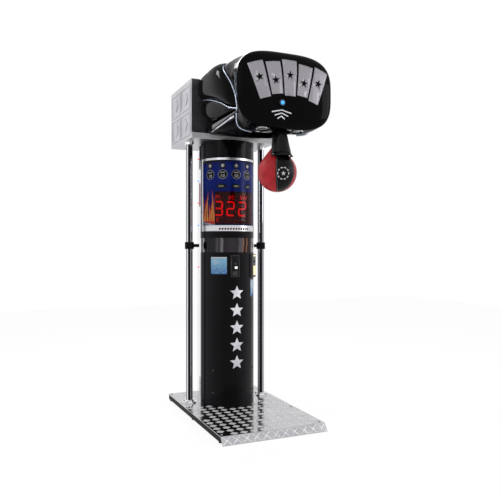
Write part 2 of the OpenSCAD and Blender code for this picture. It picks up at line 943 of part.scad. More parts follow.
// A side of the box: a sheet with raised squares, parted by a plain cross
module head_side(relief) {
    margin = 26;
    cross = 16;
    raise = 3;
    cell_d = (head_d - 2 * margin - cross) / 2;
    cell_h = (head_h - 2 * margin - cross) / 2;
    color("silver") {
        block([head_x - head_wall, -head_front_y, head_z], [head_x, head_back_y, head_top_z - head_wall]);
        for (i = [0, 1], j = [0, 1])
            translate([head_x - 0.5, -head_front_y + margin + i * (cell_d + cross),
                head_z + margin + j * (cell_h + cross)])
                rotate([90, 0, 90])
                    linear_extrude(raise + 0.5) {
                        difference() {
                            square([cell_d, cell_h]);
                            translate([12, 12])
                                square([cell_d - 24, cell_h - 24]);
                        }
                        translate([cell_d / 2, cell_h / 2])
                            if ((i + j) % 2 == relief)
                                circle(r = cell_h / 4);
                            else
                                rotate(45)
                                    square(cell_h / 2.6, center = true);
                    }
    }
}

module head_side_right() {
    head_side(0);
}

module head_side_left() {
    mirror([1, 0, 0])
        head_side(1);
}

module head_front() {
    groove = 1.2;
    z0 = head_z + head_wall;
    x1 = head_x - head_wall;
    color([0.1, 0.1, 0.11])
        difference() {
            block([-x1, -head_front_y, z0], [x1, -head_front_y + head_wall, head_top_z - head_wall]);
            block([-beam_w / 2 - seat, -head_front_y - 1, beam_z - seat],
                [beam_w / 2 + seat, -head_front_y + 5, beam_z + beam_w + seat]);
            for (i = [1:6])
                block([-x1 - 1, -head_front_y - 1, z0 + i * head_h / 7], [x1 + 1, -head_front_y + groove,
                    z0 + i * head_h / 7 + 3]);
        }
}

module head_rear() {
    z0 = head_z + head_wall;
    x1 = head_x - head_wall;
    color([0.1, 0.1, 0.11])
        difference() {
            block([-x1, head_back_y - head_wall, z0], [x1, head_back_y, head_top_z - head_wall]);
            for (s = [-1, 1], i = [0:7])
                block([s * 150 - 70, head_back_y - 5, head_z + 130 + i * 18],
                    [s * 150 + 70, head_back_y + 1, head_z + 136 + i * 18]);
        }
}

module head_top() {
    color("silver")
        block([-head_x, -head_front_y, head_top_z - head_wall], [head_x, head_back_y, head_top_z]);
}

trim_h = 38;
trim_joints = [-151, -96, 31, 200];
trim_groove = 1.6;
trim_t = 12;
module bottom_trim() {
    color("silver")
        difference() {
            translate([-head_x, -head_front_y - seat, head_z + trim_h / 2])
                rotate([0, 90, 0])
                    cylinder(r = trim_h / 2, h = 2 * head_x);
            block([-head_x - 1, -head_front_y - seat, head_z - 1],
                [head_x + 1, -head_front_y + trim_h, head_z + trim_h + 1]);
            block([-head_x - 1, -head_front_y - trim_h, head_z - 1],
                [head_x + 1, -head_front_y - trim_t, head_z + trim_h + 1]);
            for (x = trim_joints)
                difference() {
                    block([x - trim_groove / 2, -head_front_y - trim_h, head_z - 1],
                        [x + trim_groove / 2, -head_front_y, head_z + trim_h + 1]);
                    translate([x - trim_groove, -head_front_y - seat, head_z + trim_h / 2])
                        rotate([0, 90, 0])
                            cylinder(r = trim_h / 2 - trim_groove, h = 2 * trim_groove);
                }
        }
}

// Glove: the fist, its wrist and the lobes beside the slot are lofted through stations. A station of
// the fist or wrist is [distance behind the fist's front, height above its underside, half width as a
// share of the fist's, half height, exponent, lean, pinch of the sides, bow of the middle]
around = 32;
front_fillet = 42;
front_round = 87;
front_up = 214;
front_half_h = 215.5;
round_power = 3.07;
fillet_half_h = front_half_h * pow(1 - pow(1 - front_fillet / front_round, round_power), 1 / round_power);
fist_stations = [
    [87, 215, 0.961, 216.5, 3.5, 0, 0.025, 0],
    [130, 222, 0.926, 223, 3.7, 5.7, 0.05, 0],
    [185, 228, 0.909, 237, 4.1, 15.5, 0.105, 12],
    [235, 230, 0.909, 246, 4.6, 23, 0.155, 28],
    [275, 228, 0.912, 252, 5.2, 28, 0.19, 45],
    [298, 226, 0.898, 254, 5.4, 30.4, 0.215, 58]
];
wrist_stations = [
    [285, 274, 0.649, 154, 4.6, 30.4, 0.1, 50],
    [310, 277, 0.73, 172, 4.6, 30.4, 0.1, 55],
    [340, 290, 0.821, 180, 4.6, 28, 0.09, 50],
    [385, 310, 0.888, 172, 4.5, 23.5, 0.04, 35],
    [470, 342, 0.916, 145, 4.2, 15, 0, 15],
    [600, 366, 0.919, 123, 3.8, 7, 0, 5],
    [710, 378, 0.905, 110, 3.6, 2, 0, 0],
    [770, 383, 0.877, 100, 3.4, 0, 0, 0],
    [fist_front, 383, 0.877, 98, 3.4, 0, 0, 0]
];
// A station of a lobe or cuff is [distance behind the fist's front, height above its underside, distance
// from the middle, half width, half height]
lobe_stations = [
    [170, 134, 186, 16, 4], [238, 138, 190, 26, 8], [310, 151, 192, 41, 18], [394, 172, 189, 49, 39],
    [520, 197, 187, 56, 62], [604, 213, 187, 57, 72], [685, 233, 187, 57, 68], [725, 248, 187, 54, 58],
    [748, 256, 187, 45, 42], [758, 260, 187, 14, 10]
];
cuff_stations = [
    [175, 113, 218, 14, 3], [310, 109, 194, 38, 7], [410, 106, 186, 46, 11], [510, 103, 184, 48, 14.5],
    [565, 101.5, 185, 47, 16]
];
cowl_stations = [
    [150, 62, 0, 100, 14], [210, 72, 0, 150, 30], [300, 84, 0, 175, 46], [380, 88, 0, 190, 50],
    [490, 91, 0, 202, 49], [630, 105, 0, 206, 39], [770, 120, 0, 200, 30], [fist_front, 122, 0, 198, 30]
];

function sgn_pow(v, p) = sign(v) * pow(abs(v), p);
function spline(a, b, c, d, t) =
    b + (t * (c - a) + t * t * (2 * a - 5 * b + 4 * c - d) + t * t * t * (3 * b - a - 3 * c + d)) / 2;
function between(list, steps) = let (last = len(list) - 1) concat(
    [for (i = [0:last - 1], k = [0:steps - 1])
        spline(list[max(i - 1, 0)], list[i], list[i + 1], list[min(i + 2, last)], k / steps)],
    [list[last]]
);
function moved_ends(list, first, end) = let (last = len(list) - 1)
    [for (i = [0:last]) [
        for (k = [0:len(list[i]) - 1])
            list[i][k] + (k > 0 ? 0 : i == 0 ? first : i == last ? end : 0)
    ]];
stretch = fist_h / 475;
function oval(x, back, up, a, c, n, lean = 0, pinch = 0, bow = 0, sides = around) =
    [for (k = [0:sides - 1])
        let (
            t = 360 * k / sides,
            u = sgn_pow(cos(t), 2 / n),
            w = sgn_pow(sin(t), 2 / n),
            waist = 1 - w * w
        )
        [
            x + a * u * (1 - pinch * waist),
            back - fist_front + c * w * sin(lean) - bow * waist,
            fist_z + (up + c * w * cos(lean)) * stretch
        ]];
function fist_oval(s, inset) =
    oval(0, s[0], s[1], s[2] * fist_half_w - inset, s[3] - inset, s[4], s[5], s[6], s[7]);
function front_oval(share, inset) =
    let (
        back = inset + (front_fillet - inset) * pow(1 - cos(90 * share), 1.15),
        out_w = (front_fillet - back) / (front_fillet - inset),
        out_h = (front_round - back) / (front_round - inset)
    )
    oval(0, back, front_up, (fist_half_w - inset) * pow(1 - pow(out_w, 2.2), 1 / 2.2),
        (front_half_h - inset) * pow(1 - pow(out_h, round_power), 1 / round_power), 3.4);
function middle(ring) = let (n = len(ring)) [for (k = [0:2]) [for (p = ring) 1] * [for (p = ring) p[k]] / n];

// Closed body through rings of points
module loft(rings) {
    n = len(rings[0]);
    last = len(rings) - 1;
    polyhedron(
        points = concat([for (r = rings, p = r) p], [middle(rings[0]), middle(rings[last])]),
        faces = concat(
            [for (i = [0:last - 1], j = [0:n - 1], k = [0, 1])
                let (a = i * n + j, b = i * n + (j + 1) % n)
                k == 0 ? [a, b, a + n] : [b, b + n, a + n]],
            [for (j = [0:n - 1]) [(last + 1) * n, (j + 1) % n, j]],
            [for (j = [0:n - 1]) [(last + 1) * n + 1, last * n + j, last * n + (j + 1) % n]]
        )
    );
}

module fist_form(inset) {
    front = 8;
    loft(concat(
        [for (i = [1:front - 1]) front_oval(i / front, inset)],
        [for (s = between(concat([[front_fillet, front_up, 1, fillet_half_h, 3.4, 0, 0, 0]],
            moved_ends(fist_stations, 0, -inset)), 2)) fist_oval(s, inset)]
    ));
}

module wrist_form(inset) {
    loft([for (s = between(moved_ends(wrist_stations, inset > 0 ? -30 : 0, 0), 2))
        fist_oval(s, inset)]);
}

module side_form(stations, n, inset) {
    sides = 16;
    least = 0.5;
    for (m = [0, 1])
        mirror([m, 0, 0])
            loft([for (s = between(moved_ends(stations, inset, -inset), 2))
                oval(s[2], s[0], s[1], max(s[3] - inset, least), max(s[4] - inset, least), n,
                    sides = sides)]);
}

module glove_form(inset) {
    fist_form(inset);
    wrist_form(inset);
    side_form(lobe_stations, 3, inset);
}

slot_front = fist_front - 48;
slot_neck = 110 - ball_r / 2;
slot_back = pivot_front - sin(swing_deg) * (pivot_z - ball_z) - ball_r - 21;
slot_step = pivot_front - 112;
module ball_slot() {
    block([-slot_neck, -slot_front, fist_z - 100], [slot_neck, -slot_step, beam_z - 12]);
    block([-slot_half_w, -slot_step - 1, fist_z - 100], [slot_half_w, -slot_back, beam_z - 12]);
}

button_x = -40;
button_z = pivot_z + 47;
button_r = 11;
bezel_r = 17;
lamp_xs = [-120, 95];
lamp_y = pivot_y - 62;
lamp_r = 34;
lamp_z = fist_z + 12;

glove_cut = fist_half_w + 100;
beam_room = 10;
bracket_room = 8;
module behind_head_front(gap) {
    block([-glove_cut, -head_front_y - gap, fist_z - 100], [glove_cut, 100, fist_z + 600]);
}
module bracket_gap() {
    half_w = bracket_x + bracket_t + bearing_w + bracket_room;
    block([-half_w, -slot_front, fist_z + 30], [half_w, -slot_step, beam_z - 12]);
}
module glove_shell() {
    color([0.03, 0.03, 0.03])
        resize([2 * fist_half_w, 0, 0])
            difference() {
                glove_form(0);
                glove_form(glove_wall);
                behind_head_front(seat);
                block([-glove_cut, -head_front_y - trim_t - 1, fist_z - 100],
                    [glove_cut, 100, head_z + trim_h + 1]);
                ball_slot();
                bracket_gap();
                block([-beam_w / 2 - beam_room, -slot_step, beam_z - beam_room - 20],
                    [beam_w / 2 + beam_room, 0, beam_z + beam_w + beam_room]);
                rod_y([button_x, -fist_front - 20, button_z], button_r + 1 + seat, 60);
                for (x = lamp_xs)
                    rod_z([x, lamp_y, fist_z - 20], lamp_r + seat, 90);
            }
}

module glove_cowling() {
    wall = 6;
    half_w = cuff_stations[0][2] + cuff_stations[0][3];
    color([0.05, 0.05, 0.05])
        resize([2 * half_w, 0, 0])
            difference() {
                union() {
                    side_form(cuff_stations, 5, 0);
                    difference() {
                        loft([for (s = between(cowl_stations, 2)) oval(0, s[0], s[1], s[3], s[4], 3)]);
                        loft([for (s = between(moved_ends(cowl_stations, wall, 0), 2))
                            oval(0, s[0], s[1], s[3] - wall, s[4] - wall, 3)]);
                    }
                }
                glove_form(-seat);
                behind_head_front(trim_t + 2);
                rod_z([0, 0, fist_z - 100], col_r + 3, 200);
                ball_slot();
                bracket_gap();
            }
}

module fist_lamps() {
    color("white")
        for (x = lamp_xs)
            difference() {
                rod_z([x, lamp_y, lamp_z - 6], lamp_r, 25);
                rod_z([x, lamp_y, lamp_z - 7], lamp_r - 6, 4);
            }
}

module start_bezel() {
    back = fist_front - 46;
    color("dimgray")
        difference() {
            union() {
                rod_y([button_x, -fist_front - 5, button_z], bezel_r, 5);
                rod_y([button_x, -fist_front - 1, button_z], button_r + 1, fist_front - back + 1);
            }
            rod_y([button_x, -fist_front - 6, button_z], button_r - 0.6 + running, fist_front - back);
        }
}

module start_button() {
    color("dodgerblue")
        rod_y([button_x, -fist_front - 8, button_z], button_r - 0.6, 36);
}

// Swing
pivot = [0, pivot_y, pivot_z];
arm_len = pivot_z - ball_z;
catch_at = catch_deg + swing_deg;
latch_reach = 60;
latch_yz = [
    pivot_y + catch_r * cos(catch_at) + latch_reach * sin(catch_at),
    pivot_z + catch_r * sin(catch_at) - latch_reach * cos(catch_at)
];
latch_rest = 90 + catch_at - latch_deg;
latch_len = latch_reach - catch_pin_r - latch_gap;
latch_x = 57;
latch_t = 8;
latch_pin_r = 5;
drive_r = 30;
drive_y = (cos(latch_rest) + cos(latch_rest + latch_deg)) / 2 * drive_r;
blade_x = latch_x + latch_t + 3.5;
blade_t = 3;
plunger_r = 4;
solenoid_z = pivot_z + 95;

module arm_bracket() {
    low = pivot_z - 55;
    front = pivot_y - 65;
    back = pivot_y + bracket_tail;
    wing = [
        [front, beam_z], [front, pivot_z + 10], [pivot_y - 42, low], [pivot_y + 10, low],
        [back - 40, pivot_z - 8], [back, pivot_z + 10], [back, beam_z]
    ];
    color([0.25, 0.25, 0.27])
        difference() {
            union() {
                block([-bracket_x - bracket_t, front, beam_z - 6], [bracket_x + bracket_t, back, beam_z]);
                for (s = [0, 1])
                    mirror([s, 0, 0]) {
                        slab_x(bracket_x, bracket_t, wing);
                        rod_x([bracket_x + bracket_t - 1, pivot_y, pivot_z], bearing_r, bearing_w + 1);
                    }
                block([-bracket_x - 1, pivot_y - arm_r - seat - 16, pivot_z - 50],
                    [bracket_x + 1, pivot_y - arm_r - seat - 10, pivot_z - 34]);
                block([-15, pivot_y - arm_r - seat - 11, pivot_z - 50],
                    [15, pivot_y - arm_r - seat, pivot_z - 34]);
                translate(pivot)
                    rotate([swing_deg - 90, 0, 0]) {
                        block([-20, 38, arm_r + seat], [20, 58, arm_r + 16]);
                        block([-bracket_x - 1, 52, arm_r + 15], [20, 60, arm_r + 24]);
                    }
                rod_x([latch_x - 3.5, latch_yz.x, latch_yz.y], latch_pin_r, bracket_x - latch_x + 4.5);
                rod_x([latch_x - 3, latch_yz.x, latch_yz.y], latch_pin_r + 2, 2.7);
                rod_x([latch_x + latch_t + seat, latch_yz.x, latch_yz.y], latch_pin_r + 2,
                    bracket_x - latch_x - latch_t);
            }
            rod_x([-bracket_x - 60, pivot_y, pivot_z], shaft_r + running, 2 * bracket_x + 120);
        }
}

module strike_sensor() {
    color("darkslategray")
        difference() {
            block([-bracket_x, pivot_y - 10, pivot_z + 18], [-bracket_x + 33, pivot_y + 10, pivot_z + 46]);
            block([-bracket_x + 19, pivot_y - 11, pivot_z + 17],
                [-bracket_x + 28, pivot_y + 11, pivot_z + 38]);
        }
}

module swing_arm() {
    flag_r = 30;
    flag_x = -bracket_x + 22.5;
    color("silver")
        difference() {
            union() {
                rod_x([-bracket_x - bracket_t - bearing_w - 2, pivot_y, pivot_z], shaft_r,
                    2 * (bracket_x + bracket_t + bearing_w + 2));
                rod_x([-30, pivot_y, pivot_z], hub_r, 60);
                rod_z([0, pivot_y, ball_z + ball_r + 5], arm_r, arm_len - ball_r - 5);
                rod_x([flag_x, pivot_y, pivot_z], flag_r, 2);
                translate([catch_x, pivot_y, pivot_z])
                    rotate([catch_deg, 0, 0]) {
                        block([0, 0, -10], [latch_t, catch_r, 10]);
                        rod_x([0, catch_r, 0], 10, latch_t);
                        rod_x([0, catch_r, 0], catch_pin_r, latch_t + 12);
                    }
                rod_x([29, pivot_y, pivot_z], shaft_r + 4, catch_x - 28);
            }
            for (a = [0:60:300])
                translate([flag_x - 1, pivot_y, pivot_z])
                    rotate([a + 15, 0, 0])
                        block([0, 22, -2], [4, 27, 2]);
        }
}

// Outline of the pear-shaped ball as (radius, height) from its centre, at an offset from its surface
neck_r = 34;
neck_h = 135;
neck_cap = 4;
neck_in = 6;
shoulder = atan2(neck_r, neck_h) + acos(ball_r / norm([neck_r, neck_h]));
function ball_outline(off, from = 180) =
    concat(
        [for (i = [0:18]) let (a = from + (shoulder - from) * i / 18) (ball_r + off) * [sin(a), cos(a)]],
        [[neck_r, neck_h] + off * [sin(shoulder), cos(shoulder)]]
    );
function reversed(list) = [for (i = [len(list) - 1:-1:0]) list[i]];

module punch_ball() {
    bore_r = arm_r + seat;
    color([0.7, 0.08, 0.1])
        translate([0, pivot_y, ball_z])
            difference() {
                rotate_extrude()
                    polygon(concat(ball_outline(0),
                        [[neck_r - neck_in, neck_h + neck_cap], [0, neck_h + neck_cap]]));
                translate([0, 0, ball_r + 4])
                    cylinder(r = bore_r, h = neck_h);
            }
}

module ball_panel() {
    half = 31;
    color([0.06, 0.06, 0.06])
        translate([0, pivot_y, ball_z])
            rotate([0, 0, -90 - half])
                rotate_extrude(angle = 2 * half)
                    polygon(concat(ball_outline(2, 165), reversed(ball_outline(seat, 165))));
}

// The flared cover over the arm and the front of the ball's neck
module cover_form(inset) {
    hull() {
        translate([0, -26, arm_len - 66 - 2])
            scale([36 - inset, 35 - inset, 1])
                cylinder(r = 1, h = 2, $fn = 32);
        translate([0, -50, 94])
            scale([58 - inset, 50 - inset, 1])
                cylinder(r = 1, h = 2, $fn = 32);
    }
}

module ball_skirt() {
    color([0.04, 0.04, 0.04])
        translate([0, pivot_y, ball_z])
            difference() {
                cover_form(0);
                cover_form(3);
                block([-80, 4, 80], [80, 60, arm_len]);
                rotate_extrude()
                    polygon(concat([[0, -ball_r]], ball_outline(2.5), [
                        [neck_r - neck_in + 2.5, neck_h + neck_cap + seat], [0, neck_h + neck_cap + seat]
                    ]));
                cylinder(r = arm_r + seat, h = arm_len);
            }
}

module latch() {
    drive_pin_r = 2.5;
    color("goldenrod")
        difference() {
            translate([latch_x, latch_yz.x, latch_yz.y])
                rotate([latch_rest, 0, 0]) {
                    block([0, 0, -7], [latch_t, latch_len, 7]);
                    rod_x([0, 0, 0], 10, latch_t);
                    rod_x([0, drive_r, 0], drive_pin_r, latch_t + 8);
                }
            rod_x([latch_x - 1, latch_yz.x, latch_yz.y], latch_pin_r + running, latch_t + 2);
        }
}

module solenoid() {
    y = latch_yz.x + drive_y;
    x = blade_x + blade_t / 2;
    color("steelblue")
        difference() {
            block([x - 11, y - 16, solenoid_z], [bracket_x, y + 16, solenoid_z + 50]);
            rod_z([x, y, solenoid_z - 1], plunger_r + running, 45);
        }
}

module plunger() {
    y = latch_yz.x + drive_y;
    x = blade_x + blade_t / 2;
    z = latch_yz.y + drive_r * sin(latch_rest);
    slot_h = 4.8;
    slot_w = 12;
    color("silver")
        difference() {
            union() {
                block([blade_x, y - slot_w - 3, z - slot_h - 3],
                    [blade_x + blade_t, y + slot_w + 3, z + slot_h + 3]);
                rod_z([x, y, z + slot_h + 1], plunger_r, solenoid_z + 30 - z - slot_h - 1);
            }
            block([blade_x - 1, y - slot_w, z - slot_h], [blade_x + blade_t + 1, y + slot_w, z + slot_h]);
            block([x - 10, y - 10, z - slot_h - 3], [blade_x, y + 10, z + slot_h + 6]);
            block([blade_x + blade_t, y - 10, z - slot_h - 3], [x + 10, y + 10, z + slot_h + 6]);
        }
}

base_plate();
base_frame();
rubber_feet();
plate_screws();
cabinet_shell();
core_sleeve();
mirror_band();
lower_ring();
display_panel();
panel_frame();
display_lens();
display_board();
lit_segments();
top_band();
edge_strips();
red_lights();
blue_lights();
price_plate();
coin_plate();
coin_mech();
coin_return_button();
coin_return_flap();
cash_box();
note_reader();
reader_lights();
front_stars();
cabinet_screws();
service_door();
door_hinges();
door_lock();
main_board();
power_supply();
mains_inlet();
mains_switch();
poles();
pole_flanges();
flange_bolts();
pole_ties();
head_frame();
head_side_left();
head_side_right();
head_front();
head_rear();
head_top();
bottom_trim();
glove_shell();
glove_cowling();
fist_lamps();
start_bezel();
start_button();
arm_bracket();
strike_sensor();
swing_arm();
punch_ball();
ball_panel();
ball_skirt();
latch();
solenoid();
plunger();
loudspeaker();
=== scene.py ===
"""Looks of the boxing arcade machine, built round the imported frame. Metres, front to -Y."""

import math

import bmesh
import bpy
from mathutils import Matrix, Vector


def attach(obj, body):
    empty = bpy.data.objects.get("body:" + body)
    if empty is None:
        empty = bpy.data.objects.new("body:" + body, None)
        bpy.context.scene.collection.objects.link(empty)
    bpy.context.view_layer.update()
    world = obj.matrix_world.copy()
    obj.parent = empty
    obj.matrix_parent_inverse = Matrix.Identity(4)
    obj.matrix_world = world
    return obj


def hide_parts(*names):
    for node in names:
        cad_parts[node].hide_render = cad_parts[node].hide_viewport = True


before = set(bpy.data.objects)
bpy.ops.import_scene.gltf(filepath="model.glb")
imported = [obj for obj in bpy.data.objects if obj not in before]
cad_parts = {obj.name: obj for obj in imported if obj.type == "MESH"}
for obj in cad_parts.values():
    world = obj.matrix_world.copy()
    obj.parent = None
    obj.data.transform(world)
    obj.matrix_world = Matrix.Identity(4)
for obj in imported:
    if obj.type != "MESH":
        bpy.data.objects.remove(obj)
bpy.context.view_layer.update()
bpy.context.scene.view_settings.view_transform = "Standard"

# Sizes and places shared with the frame
COL_R = 0.182
BASE_H = 0.045
PANEL_Z, PANEL_TOP = 1.174, 1.650
COIN_Z = 0.877
PIVOT = Vector((0, -0.770, 1.790))
BALL_Z, BALL_R = 1.484, 0.109
UP = Vector((0, 0, 1))

# The photograph's azimuth in degrees, and the camera's place
VIEW_TURN = -23.6
CAMERA = Vector((-1.4468, -3.6851, 1.06))

# Materials. Each is kept in M under its own name
M = {}


def new_material(name):
    m = bpy.data.materials.new(name)
    m.use_nodes = True
    M[name] = m
    return m.node_tree, m.node_tree.nodes["Principled BSDF"]


def link(source, socket):
    socket.id_data.links.new(source, socket)


def node(nt, kind, **values):
    n = nt.nodes.new(kind)
    for k, v in values.items():
        setattr(n, k, v)
    return n


def put(n, **values):
    """Sets or links a node's inputs by their names, written with an underscore for each space."""
    for k, v in values.items():
        socket = n.inputs[k.replace("_", " ")]
        if isinstance(v, bpy.types.NodeSocket):
            link(v, socket)
        else:
            socket.default_value = v
    return n


def coords(nt, scale=(1, 1, 1)):
    place = node(nt, "ShaderNodeTexCoord").outputs["Object"]
    return put(node(nt, "ShaderNodeMapping"), Vector=place, Scale=scale).outputs["Vector"]


def noise(nt, vec, scale, detail, rough=0.5):
    texture = node(nt, "ShaderNodeTexNoise")
    return put(texture, Vector=vec, Scale=scale, Detail=detail, Roughness=rough).outputs["Fac"]


def ramp(nt, fac, stops):
    r = put(node(nt, "ShaderNodeValToRGB"), Fac=fac)
    elements = r.color_ramp.elements
    while len(elements) < len(stops):
        elements.new(0.5)
    for e, (pos, col) in zip(elements, stops):
        e.position = pos
        e.color = (*col, 1)
    return r.outputs["Color"]


def toned(nt, fac, dark, light):
    return ramp(nt, fac, [(0.3, dark), (0.7, light)])


def ranged(nt, fac, lo, hi, a=0.3, b=0.7):
    """fac's stretch from a to b, laid over lo to hi."""
    n = put(node(nt, "ShaderNodeMapRange"), Value=fac, From_Min=a, From_Max=b, To_Min=lo, To_Max=hi)
    return n.outputs["Result"]


def times_plus(nt, fac, share, value):
    """fac times the share, plus the value."""
    n = node(nt, "ShaderNodeMath", operation="MULTIPLY_ADD")
    link(fac, n.inputs[0])
    n.inputs[1].default_value = share
    link(value, n.inputs[2])
    return n.outputs[0]


def bump(nt, height, strength, distance):
    n = put(node(nt, "ShaderNodeBump"), Height=height, Strength=strength, Distance=distance)
    return n.outputs["Normal"]


def metal(name, dark, light, rough, grain=(40, 40, 40), scale=6, relief=0.03):
    """Bare metal, its tone and polish drifting along its grain."""
    nt, b = new_material(name)
    fac = noise(nt, coords(nt, grain), scale, 5)
    put(b, Base_Color=toned(nt, fac, dark, light), Roughness=ranged(nt, fac, *rough), Metallic=1.0,
        Normal=bump(nt, fac, relief, 0.0003))


def paint(name, dark, light, rough, scale=14, coat=0.0, peel=0.04, specular=0.5):
    """Painted or moulded surface: slight colour drift, dust-scale roughness change, orange peel."""
    nt, b = new_material(name)
    v = coords(nt)
    put(b, Base_Color=toned(nt, noise(nt, v, scale, 5), dark, light),
        Roughness=ranged(nt, noise(nt, v, scale * 3, 3), *rough), Coat_Weight=coat, Coat_Roughness=0.04,
        Specular_IOR_Level=specular, Normal=bump(nt, noise(nt, v, 420, 2), peel, 0.0002))


def glow(name, dark, light, strength=0.9, scale=60):
    """A lit face, uneven like a diffuser."""
    nt, b = new_material(name)
    colour = toned(nt, noise(nt, coords(nt), scale, 3), dark, light)
    put(b, Base_Color=colour, Emission_Color=colour, Emission_Strength=strength, Roughness=0.25)


def tread(name, dark, light, rough):
    """Rolled aluminium: blotchy tone, and a fine grain across it."""
    nt, b = new_material(name)
    fine = noise(nt, coords(nt, (1, 12, 1)), 60, 4)
    put(b, Base_Color=toned(nt, noise(nt, coords(nt), 14, 6, 0.6), dark, light),
        Roughness=ranged(nt, fine, *rough), Metallic=1.0, Normal=bump(nt, fine, 0.02, 0.0003))


def clear(name, dark, light, rough):
    """A tinted see-through sheet with a faint haze."""
    nt, b = new_material(name)
    v = coords(nt)
    put(b, Base_Color=toned(nt, noise(nt, v, 25, 3), dark, light),
        Roughness=ranged(nt, noise(nt, v, 60, 2), *rough), Transmission_Weight=1.0, IOR=1.2)


def leather(name, dark, light, cells, depth, rough, specular):
    """Grained hide: warped cells with darker, sunk furrows between them."""
    nt, b = new_material(name)
    v = coords(nt)
    warp = node(nt, "ShaderNodeVectorMath", operation="MULTIPLY_ADD")
    link(put(node(nt, "ShaderNodeTexNoise"), Vector=v, Scale=90).outputs["Color"], warp.inputs[0])
    warp.inputs[1].default_value = (0.004, 0.004, 0.004)
    link(v, warp.inputs[2])
    cell = node(nt, "ShaderNodeTexVoronoi", feature="DISTANCE_TO_EDGE")
    put(cell, Vector=warp.outputs["Vector"], Scale=cells)
    grain = ranged(nt, cell.outputs["Distance"], 0, 1, 0.0, 0.12)
    wear = noise(nt, v, 18, 5)
    mix = put(node(nt, "ShaderNodeMix", data_type="RGBA", blend_type="MULTIPLY"), Factor=0.55,
              A=ramp(nt, wear, [(0.3, dark), (0.72, light)]),
              B=ramp(nt, grain, [(0.0, (0.25, 0.25, 0.25)), (0.6, (1, 1, 1))]))
    put(b, Base_Color=mix.outputs["Result"], Roughness=ranged(nt, wear, *rough),
        Specular_IOR_Level=specular, Normal=bump(nt, grain, depth, 0.0008))


def printed(name, heights, reach, mottle, share, stops, **values):
    """A print whose colour runs up between two heights, through a share of a mottling noise."""
    nt, b = new_material(name)
    v = coords(nt)
    height = put(node(nt, "ShaderNodeSeparateXYZ"), Vector=v).outputs["Z"]
    rise = times_plus(nt, noise(nt, v, *mottle), share, ranged(nt, height, 0, reach, *heights))
    put(b, Base_Color=ramp(nt, rise, stops), **values)


def label(name, low, high, foot, specks):
    """A small printed label, from its low colour at the foot to its high colour."""
    mid = tuple((a + c) / 2 for a, c in zip(low, high))
    printed(name, (foot, foot + LABEL_H), 1, (specks, 3), 0.5, [(0.15, low), (0.6, mid), (1.0, high)],
            Roughness=0.25, Coat_Weight=0.3)


def painted_reflections(name, turn, bands, metallic, rough, specular=0.5):
    """A polished upright drum with painted reflections: a studio's dark and light walls are painted into its
    colour as bands, by the surface's own normal.
    """
    nt, b = new_material(name)
    turn = math.radians(turn)
    dot = node(nt, "ShaderNodeVectorMath", operation="DOT_PRODUCT")
    link(node(nt, "ShaderNodeNewGeometry").outputs["Normal"], dot.inputs[0])
    dot.inputs[1].default_value = (math.cos(turn), math.sin(turn), 0)
    wobble = times_plus(nt, noise(nt, coords(nt, (1, 1, 3)), 4, 3), BAND_SWAY, dot.outputs["Value"])
    across = ranged(nt, wobble, 0, 1, -1 + BAND_SWAY / 2, 1 + BAND_SWAY / 2)
    put(b, Base_Color=ramp(nt, across, bands), Metallic=metallic, Specular_IOR_Level=specular,
        Roughness=ranged(nt, noise(nt, coords(nt), 30, 3), *rough))


LABEL_H = 0.11
SIDE_LABEL_Z = 0.747
BAND_SWAY = 0.12
# Painted reflections on the chrome poles: light and dark studio bands laid into their colour
TUBE_REFLECTION_BANDS = [
    (0.0, (0.1, 0.1, 0.11)), (0.13, (0.2, 0.2, 0.22)), (0.19, (0.72, 0.72, 0.75)),
    (0.28, (0.8, 0.8, 0.83)), (0.34, (0.015, 0.015, 0.018)), (0.66, (0.012, 0.012, 0.014)),
    (0.73, (0.3, 0.3, 0.32)), (0.88, (0.42, 0.42, 0.45)), (1.0, (0.16, 0.16, 0.18)),
]
# Painted reflections on the black column casing: soft light and dark bands laid into its colour
COLUMN_REFLECTION_BANDS = [
    (0.0, (0.004, 0.004, 0.005)), (0.12, (0.02, 0.018, 0.021)), (0.3, (0.01, 0.009, 0.011)),
    (0.48, (0.003, 0.003, 0.003)), (0.66, (0.004, 0.003, 0.004)), (0.82, (0.012, 0.011, 0.013)),
    (0.9, (0.022, 0.019, 0.022)), (0.95, (0.006, 0.005, 0.006)), (1.0, (0.09, 0.085, 0.095)),
]
# Painted reflections on the mirror band: dark, gleaming and copper stripes laid into its colour
REFLECTED_DARK, REFLECTED_GLEAM, REFLECTED_COPPER = (0.025, 0.023, 0.027), (0.16, 0.15, 0.165), (0.3, 0.12, 0.07)
MIRROR_REFLECTION_BANDS = [
    (0.0, (0.3, 0.3, 0.32)), (0.05, (0.02, 0.02, 0.022)), (0.1, (0.4, 0.4, 0.42)),
    (0.13, (0.02, 0.02, 0.022)), (0.3, REFLECTED_DARK), (0.345, (0.07, 0.065, 0.072)), (0.38, REFLECTED_DARK), (0.43, REFLECTED_GLEAM),
    (0.46, REFLECTED_DARK), (0.6, (0.035, 0.03, 0.036)), (0.72, (0.03, 0.028, 0.032)), (0.74, (0.08, 0.075, 0.085)),
    (0.8, (0.09, 0.08, 0.09)), (0.815, REFLECTED_COPPER), (0.83, (0.02, 0.018, 0.02)), (0.86, (0.02, 0.018, 0.02)),
    (0.875, REFLECTED_COPPER), (0.89, (0.015, 0.013, 0.015)), (0.95, (0.02, 0.008, 0.008)), (1.0, (0.5, 0.5, 0.52)),
]
PANEL_PRINT = [
    (0.2, (0.0012, 0.003, 0.045)), (0.5, (0.002, 0.007, 0.12)), (0.72, (0.003, 0.018, 0.21)),
    (0.95, (0.002, 0.006, 0.1)),
]

